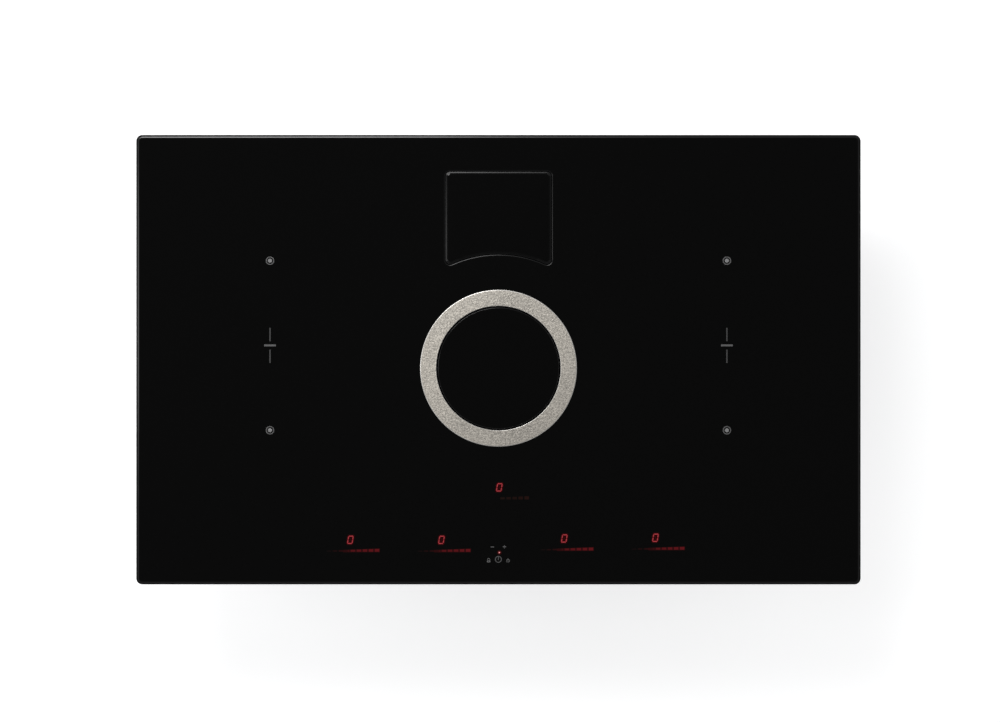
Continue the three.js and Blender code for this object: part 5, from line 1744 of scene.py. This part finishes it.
@dataclass
class MainsBox:
    """The terminal box under the casing with its screwed cover and its gland."""

    cover: tuple[Vector, Vector] = field(default_factory=lambda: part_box("terminal_cover"))
    points: int = 48  # of each section of the gland
    screw_inset: float = 7 * MM
    panel_inset: float = 13 * MM
    panel_height: float = 0.8 * MM
    panel_shoulder: float = 0.6 * MM
    panel_corner: float = 4 * MM
    box_corner: float = 1 * MM
    rib_pitch: float = 15 * MM
    rib_size: float = 1.4 * MM
    rib_foot: float = 3 * MM  # above the floor of the box
    rib_head: float = 2 * MM  # below its top
    wall_y: float = 230 * MM
    up: float = 148 * MM
    bore: float = 5.5 * MM
    thread: float = 10.8 * MM
    hexagon: float = 13 * MM  # from the axis to a corner
    hexagon_broken: float = 0.8 * MM
    hex_from: float = 0.3 * MM  # from the wall of the box
    hex_to: float = 5.3 * MM
    edge: float = 0.6 * MM
    nut: float = 10.7 * MM
    nut_to: float = 10.6 * MM
    flutes: int = 12
    flute_depth: float = 0.7 * MM
    shoulder: float = 9.1 * MM  # radius where the round front of the nut begins
    shoulder_drop: float = 0.8 * MM
    front: float = 8.1 * MM  # radius of its flat front
    reach: float = 13.9 * MM
    mouth: float = 6.9 * MM
    mouth_depth: float = 1.6 * MM
    seal_profile: tuple[Point, ...] = ((5.1, 8.0), (5.7, 8.0), (5.7, 11.9), (5.1, 11.9))  # millimetres

    def gland_rings(self, back: float) -> list[tuple[Outline, float]]:
        """Sections of the gland from its bore round the outside and back to the bore.

        Args:
            back: level of its inner end.

        Returns:
            Outline and level of each section.
        """
        count, edge = self.points, self.edge
        corners = sided(self.hexagon, 6, count)
        broken = sided(self.hexagon - self.hexagon_broken, 6, count)
        grips = fluted(self.nut, self.flutes, self.flute_depth, count)
        bore, thread = circle(0, 0, self.bore, count), circle(0, 0, self.thread, count)
        return [
            (bore, back),
            (thread, back),
            (thread, self.hex_from),
            (broken, self.hex_from),
            (corners, self.hex_from + edge),
            (corners, self.hex_to - edge),
            (broken, self.hex_to),
            (circle(0, 0, self.nut - edge, count), self.hex_to),
            (grips, self.hex_to + edge),
            (grips, self.nut_to),
            (circle(0, 0, self.shoulder, count), self.reach - self.shoulder_drop),
            (circle(0, 0, self.front, count), self.reach),
            (circle(0, 0, self.mouth, count), self.reach),
            (bore, self.reach - self.mouth_depth),
        ]

    def gland(self) -> None:
        """Builds the gland: thread, hexagon, fluted nut and rubber seal."""
        low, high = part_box("cable_gland")
        place = seat(((low.x + high.x) / 2, self.wall_y, self.up), REARWARD)
        rings = self.gland_rings(low.y - self.wall_y)
        maker = Maker()
        maker.moved(lambda part: part.lofted(rings), place)
        maker.piece("mains_gland", BLACK_PLASTIC, "hob", ["cable_gland"], "plastic_black")
        seal = [(radius * MM, level * MM) for radius, level in self.seal_profile]
        maker = Maker()
        maker.moved(lambda part: part.turned(seal, 32), place)
        maker.piece("gland_seal", SEAL, "hob")

    def ribs(self) -> None:
        """Builds the raised panel of the cover and the ribs on the walls."""
        low, high = self.cover
        length, width = (side - 2 * self.panel_inset for side in (high.x - low.x, high.y - low.y))
        panel = Raised(length, width, self.panel_height, self.panel_shoulder, self.panel_corner)
        maker = Maker()
        middle = ((low.x + high.x) / 2, (low.y + high.y) / 2, low.z)
        maker.moved(panel, seat(middle, DOWN, (1, 0, 0)))
        low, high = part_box("terminal_box")
        outline = rounded_rectangle((low.x, low.y), (high.x, high.y), self.box_corner, 1)
        foot, head = low.z + self.rib_foot, high.z - self.rib_head
        for at, outward in spaced(outline, self.rib_pitch):
            if outward.y < 0.9:  # the gland's wall stays free
                maker.rib(at, outward, self.rib_size, self.rib_size, foot, head)
        maker.piece("terminal_ribs", BLACK_PLASTIC, "hob")

    def screws(self) -> None:
        """Builds the screws of the cover."""
        low, high = self.cover
        maker = Maker()
        for x in (low.x + self.screw_inset, high.x - self.screw_inset):
            for y in (low.y + self.screw_inset, high.y - self.screw_inset):
                maker.moved(COVER_SCREW, seat((x, y, low.z), DOWN, (1, x + y, 0)))
        maker.piece("terminal_screws", SCREW_STEEL, "hob", sharp_over=40)

    def build(self) -> None:
        """Dresses the box and builds its small pieces."""
        dress("terminal_box", BLACK_PLASTIC, 0.8 * MM)
        dress("terminal_cover", BLACK_PLASTIC, 0.6 * MM)
        self.gland()
        self.ribs()
        self.screws()


@dataclass
class AirBoxes:
    """The two halves of the air box, moulded, ribbed and screwed together along a flange."""

    left: float = -140 * MM
    lower_right: float = 78 * MM  # where the lower flange ends beside the blower
    front: float = -150 * MM
    rear: float = 115 * MM
    corner: float = 10 * MM
    shoulder_x: float = 40 * MM
    end_radius: float = 92 * MM
    blower_x: float = 212 * MM
    blower_y: float = -20 * MM
    split: float = 89 * MM
    top: float = 163 * MM
    flange_reach: float = 7 * MM
    flange_thickness: float = 2.6 * MM
    flange_broken: float = 0.4 * MM
    rib_pitch: float = 24 * MM
    rib_width: float = 1.8 * MM
    rib_reach: float = 2.4 * MM
    rib_foot: float = 3 * MM
    rib_head: float = 2 * MM  # below the top
    screw_pitch: float = 62 * MM
    screw_out: float = 3.64 * MM  # from the wall

    def upper(self) -> Outline:
        """Outline of the upper half, which narrows to a round end over the blower.

        Returns:
            The points, counterclockwise.
        """
        quarter = math.pi / 2
        x, y, r = self.left + self.corner, self.front + self.corner, self.corner
        points = [(self.shoulder_x, self.front)]
        points += arc(self.blower_x, self.blower_y, self.end_radius, -quarter, quarter, 24)
        points.append((self.shoulder_x, self.rear))
        points += arc(x, self.rear - r, r, quarter, 2 * quarter, 6)
        points += arc(x, y, r, 2 * quarter, 3 * quarter, 6)
        return points

    def lower(self) -> Outline:
        """Three sides of the lower half.

        Returns:
            The points from the rear right round the left to the front right.
        """
        quarter = math.pi / 2
        x, r = self.left + self.corner, self.corner
        points = [(self.lower_right, self.rear)]
        points += arc(x, self.rear - r, r, quarter, 2 * quarter, 6)
        points += arc(x, self.front + r, r, 2 * quarter, 3 * quarter, 6)
        points.append((self.lower_right, self.front))
        return points

    def flange_edge(self, margin: float) -> Outline:
        """Outside of the upper flange, drawn in by a margin."""
        return offset(self.upper(), self.flange_reach - margin)

    def flange_root(self, margin: float) -> Outline:
        """Inside of the upper flange, within the wall, grown by a margin."""
        return offset(self.upper(), -FLANGE_SUNK - margin)

    def upper_ribs(self) -> None:
        """Builds the flange and the ribs of the upper half."""
        bottom, top = self.split + CLEAR, self.split + self.flange_thickness
        broken = self.flange_broken
        outer = [(0.0, bottom), (0.0, top - broken), (broken, top)]
        maker = Maker()
        maker.plate([self.flange_edge, self.flange_root], [outer, [(0.0, bottom), (0.0, top)]])
        foot, head = top - self.rib_reach, self.top - self.rib_head
        for at, outward in spaced(self.upper(), self.rib_pitch):
            maker.rib(at, outward, self.rib_width, self.rib_reach, foot, head)
        maker.piece("air_box_upper_ribs", GREY_PLASTIC, "hob")

    def lower_ribs(self) -> None:
        """Builds the flange and the ribs of the lower half."""
        path, bottom = self.lower(), self.split - self.flange_thickness
        maker = Maker()
        maker.strip(path, FLANGE_SUNK, self.flange_reach, bottom, self.split - CLEAR)
        for at, outward in spaced(path, self.rib_pitch, closed=False):
            maker.rib(at, outward, self.rib_width, self.rib_reach, self.rib_foot, bottom + self.rib_reach)
        maker.piece("air_box_lower_ribs", GREY_PLASTIC, "hob")

    def screws(self) -> None:
        """Builds the screws under the flange."""
        level = self.split - self.flange_thickness
        maker = Maker()
        for at, outward in spaced(self.lower(), self.screw_pitch, closed=False):
            place = (*(at + outward * self.screw_out), level)
            maker.moved(FLANGE_SCREW, seat(place, DOWN, outward.to_3d()))
        maker.piece("air_box_screws", SCREW_STEEL, "hob", sharp_over=40)

    def build(self) -> None:
        """Dresses both halves and builds their flanges, ribs and screws."""
        dress("air_box_upper", GREY_PLASTIC, 1.0 * MM)
        dress("air_box_lower", GREY_PLASTIC, 2.0 * MM)
        self.upper_ribs()
        self.lower_ribs()
        self.screws()


@dataclass
class Blower:
    """The spiral case of the blower, its cover and the outlet spigot."""

    x: float = 212 * MM
    y: float = -20 * MM
    start: float = 98 * MM  # radius of the spiral at the tongue
    growth: float = 52 * MM
    tongue: float = math.radians(52)
    outlet_y: float = 150 * MM
    outlet_width: float = 222 * MM
    outlet_end: float = 210 * MM
    wall: float = 3 * MM
    split: float = 86 * MM
    top: float = 89 * MM
    flange_reach: float = 5.5 * MM
    flange_thickness: float = 2.4 * MM
    neighbour_x: float = 84.6 * MM  # face of the air box beside the spiral
    rib_pitch: float = 27 * MM
    rib_width: float = 1.8 * MM
    rib_reach: float = 2.6 * MM
    rib_foot: float = 3 * MM
    rib_clear: float = 1 * MM  # from a rib's tip to the air box
    screw_pitch: float = 68 * MM
    screw_out: float = 2.75 * MM  # from the wall
    screw_clear: float = 6 * MM  # from a screw's middle to the air box
    mouth_clear: float = 30 * MM  # the case is left open this far right of the axis
    spigot_flange: float = 9 * MM
    bead_rise: float = 1.1 * MM
    bead_back: tuple[float, float] = (14 * MM, 5 * MM)  # from the end of the sleeve
    bead_end: float = 2 * MM  # from the top and the bottom
    gusset_length: float = 18 * MM
    gusset_inset: float = 1.5 * MM  # from the edge of the flange
    gusset_aside: float = 40 * MM  # from the side to the next gusset on top
    gusset_up: tuple[float, float] = (0.3, 0.7)  # shares of the height
    top_screws: tuple[float, float] = (14 * MM, 75 * MM)  # from either side
    side_screws: tuple[float, ...] = (0.14, 0.5, 0.86)  # shares of the height
    screw_guide: Direction = (0.4, 0, 1)  # how the recess of a spigot screw is turned
    steps: int = 56

    @property
    def right(self) -> float:
        """Right side of the case and of its outlet."""
        return self.x + self.start + self.growth + self.wall

    @property
    def left(self) -> float:
        """Left side of the outlet."""
        return self.right - self.outlet_width

    def spiral(self) -> Outline:
        """Outside of the case.

        Returns:
            The points from the mouth's left edge round the spiral to its right edge.
        """
        points = []
        for i in range(self.steps + 1):
            turn = self.tongue + (TURN - self.tongue) * i / self.steps
            radius = self.start + self.growth * (turn - self.tongue) / (TURN - self.tongue) + self.wall
            points.append((self.x + radius * math.cos(turn), self.y + radius * math.sin(turn)))
        mouth = self.outlet_y - self.wall
        clear = [(x, y) for x, y in points if x < self.x + self.mouth_clear or y < self.y]
        return [(self.left, mouth), *clear, (self.right, mouth)]

    def kept(self, path: Outline) -> Outline:
        """The same path, held clear of the air box beside it."""
        return [(max(x, self.neighbour_x), y) for x, y in path]

    def case(self) -> None:
        """Builds the flanges and ribs of the spiral case."""
        path = self.spiral()
        outer = self.kept(offset(path, self.flange_reach, closed=False))
        ring = outer + offset(path, -FLANGE_SUNK, closed=False)[::-1]
        bottom, head = self.split - self.flange_thickness, self.split + self.flange_thickness
        maker = Maker()
        maker.prism(ring, bottom, self.split - CLEAR)
        maker.prism(ring, self.split + CLEAR, head)
        for at, outward in spaced(path, self.rib_pitch, closed=False):
            if at.x > self.neighbour_x + self.rib_reach + self.rib_clear:
                maker.rib(at, outward, self.rib_width, self.rib_reach, self.rib_foot, bottom + self.rib_reach)
        maker.piece("scroll_ribs", GREY_PLASTIC, "hob")

    def case_screws(self) -> None:
        """Builds the screws under the flange of the spiral case."""
        level = self.split - self.flange_thickness
        maker = Maker()
        for at, outward in spaced(self.spiral(), self.screw_pitch, closed=False):
            place = at + outward * self.screw_out
            if place.x > self.neighbour_x + self.screw_clear:
                maker.moved(SCROLL_SCREW, seat((*place, level), DOWN, outward.to_3d()))
        maker.piece("scroll_screws", SCREW_STEEL, "hob", sharp_over=40)

    def spigot_bead(self, maker: Maker, y: float) -> None:
        """Adds a bead round both sides and the top of the sleeve.

        Args:
            maker: where it goes.
            y: where it lies along the sleeve.
        """
        left, right, rise = self.left, self.right, self.bead_rise
        outline = [(left - rise, y - rise), (left - rise, y)]
        outline += [(left + rise, y + rise), (left + rise, y - 2 * rise)]
        mirrored = [(right + left - a, b) for a, b in reversed(outline)]
        for side in (outline, mirrored):
            maker.prism(side, self.bead_end, self.top - self.bead_end)
        lid = [(left, y - 1.5 * rise), (right, y - 1.5 * rise), (right, y), (left, y)]
        maker.prism(lid, self.top - rise, self.top + rise * 0.8)

    def spigot(self) -> None:
        """Builds the beads and gussets of the outlet spigot."""
        left, right, base = self.left, self.right, self.outlet_y + self.wall
        maker = Maker()
        for back in self.bead_back:
            self.spigot_bead(maker, self.outlet_end - back)
        for x in (left + self.gusset_aside, (left + right) / 2, right - self.gusset_aside):
            self.gusset(maker, Vector((x, base, self.top)), Vector((0, 0, 1)))
        for share in self.gusset_up:
            self.gusset(maker, Vector((left, base, share * self.top)), Vector((-1, 0, 0)))
            self.gusset(maker, Vector((right, base, share * self.top)), Vector((1, 0, 0)))
        maker.piece("spigot_ribs", GREY_PLASTIC, "hob")

    def spigot_screws(self) -> None:
        """Builds the screws in the flange of the spigot."""
        left, right, out = self.left, self.right, 0.5 * self.spigot_flange
        places = [(left + aside, self.top + out) for aside in self.top_screws]
        places += [(right - aside, self.top + out) for aside in self.top_screws]
        places += [(x, share * self.top) for x in (left - out, right + out) for share in self.side_screws]
        maker = Maker()
        for x, z in places:
            place = (x, self.outlet_y + self.wall, z)
            maker.moved(FLANGE_SCREW, seat(place, REARWARD, self.screw_guide))
        maker.piece("spigot_screws", SCREW_STEEL, "hob", sharp_over=40)

    def gusset(self, maker: Maker, at: Vector, outward: Vector) -> None:
        """Adds a three-cornered rib between the flange and the sleeve.

        Args:
            maker: where it goes.
            at: the corner between the two.
            outward: direction away from the sleeve.
        """
        side = Vector(REARWARD).cross(outward) * self.rib_width / 2
        root = at - outward * ROOT
        tip = at + outward * (self.spigot_flange - self.gusset_inset)
        corners = [root, root + Vector((0, self.gusset_length, 0)), tip]
        loops = [[maker.bm.verts.new(corner + side * turn) for corner in corners] for turn in (-1, 1)]
        maker.wall(*loops)
        maker.bm.faces.new(loops[0])
        maker.bm.faces.new(reversed(loops[1]))

    def build(self) -> None:
        """Dresses the blower and builds its moulded details."""
        for node in ("scroll_case", "scroll_cover", "outlet_spigot"):
            dress(node, GREY_PLASTIC, 1.0 * MM)
        dress("blower_impeller", BLACK_PLASTIC)
        dress("blower_motor", MOTOR_SHELL, 0.8 * MM)
        dress("motor_shaft", PIN_STEEL)
        self.case()
        self.case_screws()
        self.spigot()
        self.spigot_screws()


@dataclass
class Internals:
    """Coils, boards, fans, controls and the scale's works, which the glass hides."""

    def build(self) -> None:
        """Dresses the pieces inside the casing."""
        for side in ("left", "right"):
            dress(f"insulation_sheet_{side}", MICA)
            dress(f"coil_tray_{side}", TRAY_ALU)
            dress(f"power_board_{side}", BOARD)
            dress(f"heat_sink_{side}", SINK_ALU)
            dress(f"fan_frame_{side}", BLACK_PLASTIC)
            dress(f"fan_rotor_{side}", BLACK_PLASTIC)
            for place in ("rear", "front"):
                dress(f"coil_winding_{side}_{place}", COPPER)
                dress(f"coil_carrier_{side}_{place}", CARRIER)
                dress(f"ferrite_star_{side}_{place}", FERRITE)
        dress("control_holder", LIGHT_GUIDE)
        dress("control_board", BOARD)
        dress("scale_spider", TRAY_ALU)
        dress("load_cell", TRAY_ALU)
        dress("scale_well", BLACK_PLASTIC)


# ------------------------------------------------------------------------------------------------
# Stage
# ------------------------------------------------------------------------------------------------


@dataclass
class Stage:
    """Floor, light and camera."""

    camera_height: float = 3.2
    camera_aside: Point = (1.78 * MM, -1.49 * MM)
    sensor: float = 36.0
    floor_size: float = 60.0
    floor_color: Color = (0.9, 0.9, 0.9)
    floor_glow: float = 0.63
    zenith: Color = (0.077, 0.077, 0.077)
    shoulder: Color = (0.56, 0.56, 0.57)
    horizon: Color = (0.7, 0.7, 0.71)
    shoulder_at: float = 0.75  # upright part of the direction
    zenith_at: float = 0.94
    light_side: Direction = (-0.6, 0.78, 0.0)
    far_side_level: float = 0.5
    light_side_level: float = 1.3
    aim: Direction = (0, 0, 0.2)  # what the lamps face

    def floor(self) -> None:
        """Builds a pale floor that the camera sees as white, with the object's shadow on it."""
        half = self.floor_size / 2
        mesh = bpy.data.meshes.new("floor")
        corners = [(-half, -half, 0), (half, -half, 0), (half, half, 0), (-half, half, 0)]
        mesh.from_pydata(corners, [], [(0, 1, 2, 3)])
        made = bpy.data.objects.new("floor", mesh)
        bpy.context.scene.collection.objects.link(made)
        sheet = Sheet("floor_paper")
        sheet.shader.inputs["Roughness"].default_value = 0.9
        grain = sheet.noise(0.4, 2, sheet.place())
        pale = sheet.ramp(grain, [(0.3, tinted(self.floor_color, 0.99)), (0.7, self.floor_color)])
        sheet.link(pale, sheet.shader.inputs["Base Color"])
        sheet.shader.inputs["Emission Color"].default_value = (1, 1, 1, 1)
        rays = sheet.node("ShaderNodeLightPath").outputs
        seen = sheet.combine("MAXIMUM", rays["Is Camera Ray"], rays["Is Glossy Ray"])
        seen = sheet.combine("MAXIMUM", seen, rays["Is Transmission Ray"])
        glow = sheet.combine("MULTIPLY", seen, self.floor_glow)
        sheet.link(glow, sheet.shader.inputs["Emission Strength"])
        mesh.materials.append(sheet.material)

    def world(self) -> None:
        """Lights the room evenly from the sides and leaves the ceiling dark."""
        world = bpy.data.worlds.new("room")
        bpy.context.scene.world = world
        world.use_nodes = True
        nodes = Nodes(world.node_tree)
        nodes.tree.nodes.clear()
        where = nodes.node("ShaderNodeTexCoord").outputs["Generated"]
        background = nodes.node("ShaderNodeBackground")
        output = nodes.node("ShaderNodeOutputWorld")
        nodes.link(background.outputs["Background"], output.inputs["Surface"])
        stops = [(0.0, self.horizon), (self.shoulder_at, self.shoulder), (self.zenith_at, self.zenith)]
        nodes.link(nodes.ramp(nodes.axis(where, "Z"), stops), background.inputs["Color"])
        side = nodes.node("ShaderNodeVectorMath")
        side.operation = "DOT_PRODUCT"
        side.inputs[1].default_value = self.light_side
        nodes.link(where, side.inputs[0])
        levels = (self.far_side_level, self.light_side_level)
        level = nodes.mapped(side.outputs["Value"], (-1.0, 1.0), levels)
        nodes.link(level, background.inputs["Strength"])

    def fade(self, data: bpy.types.Light, share: float, gain: float) -> None:
        """Lets the light of a lamp fade towards its edges.

        Args:
            data: the lamp.
            share: width of the fading edge, as a share of the lamp.
            gain: how much brighter its middle is than an even lamp.
        """
        data.use_nodes = True
        nodes = Nodes(data.node_tree)
        emission = next(node for node in nodes.tree.nodes if node.type == "EMISSION")
        where = nodes.node("ShaderNodeNewGeometry").outputs["Parametric"]
        levels = []
        for name in "XY":
            edge = nodes.combine("PINGPONG", nodes.axis(where, name), 0.5)
            levels.append(nodes.mapped(edge, (0.0, share), (0.0, math.sqrt(gain)), "SMOOTHSTEP"))
        nodes.link(nodes.combine("MULTIPLY", *levels), emission.inputs["Strength"])

    def lamp(self, name: str, at: Sequence[float], size: Point, power: float, soft: float = 0.0) -> None:
        """Adds an area lamp that faces the hob.

        Args:
            name: name of the lamp.
            at: its place.
            size: its width and height.
            power: its power in watts.
            soft: share of its width and height over which it fades, 0 for an even lamp.
        """
        data = bpy.data.lights.new(name, "AREA")
        data.shape = "RECTANGLE"
        data.size, data.size_y = size
        data.energy = power
        if soft > 0:
            self.fade(data, soft, 1 / (1 - soft) ** 2)
        lamp = bpy.data.objects.new(name, data)
        lamp.location = at
        lamp.rotation_euler = (Vector(self.aim) - Vector(at)).to_track_quat("-Z", "Y").to_euler()
        bpy.context.scene.collection.objects.link(lamp)

    def camera(self) -> None:
        """Looks straight down at the glass, as the photograph does."""
        data = bpy.data.cameras.new("camera")
        data.type = "PERSP"
        data.sensor_fit = "HORIZONTAL"
        data.sensor_width = self.sensor
        data.lens = self.sensor * self.camera_height / VIEW_WIDTH
        data.clip_end = 100
        camera = bpy.data.objects.new("camera", data)
        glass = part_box("glass_top")[1].z
        camera.location = (*self.camera_aside, glass + self.camera_height)
        camera.rotation_euler = (0, 0, 0)
        bpy.context.scene.collection.objects.link(camera)
        bpy.context.scene.camera = camera

    def build(self) -> None:
        """Builds the stage."""
        self.floor()
        self.world()
        self.lamp("rear_strip", at=(-0.62, 1.17, 2.0), size=(1.3, 0.45), power=8)
        self.lamp("side_strip", at=(-1.45, 0.1, 1.95), size=(0.45, 1.2), power=3)
        self.lamp("key", at=(-0.65, 1.65, 2.9), size=(2.2, 1.6), power=14.5, soft=0.45)
        self.camera()
        bpy.context.scene.view_settings.view_transform = "Standard"
        log.info("stage: floor, lamps and camera")


def main() -> None:
    """Builds the hob and its stage."""
    logging.basicConfig(level=logging.INFO, format="%(name)s: %(message)s")
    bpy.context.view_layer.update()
    Stage().build()
    GlassTop().build()
    pen = Print()
    pen.zones()
    TouchKeys(pen).build()
    Displays(pen).build()
    Intake().build()
    Casing().build()
    MainsBox().build()
    AirBoxes().build()
    Blower().build()
    Internals().build()


if __name__ == "__main__":
    main()
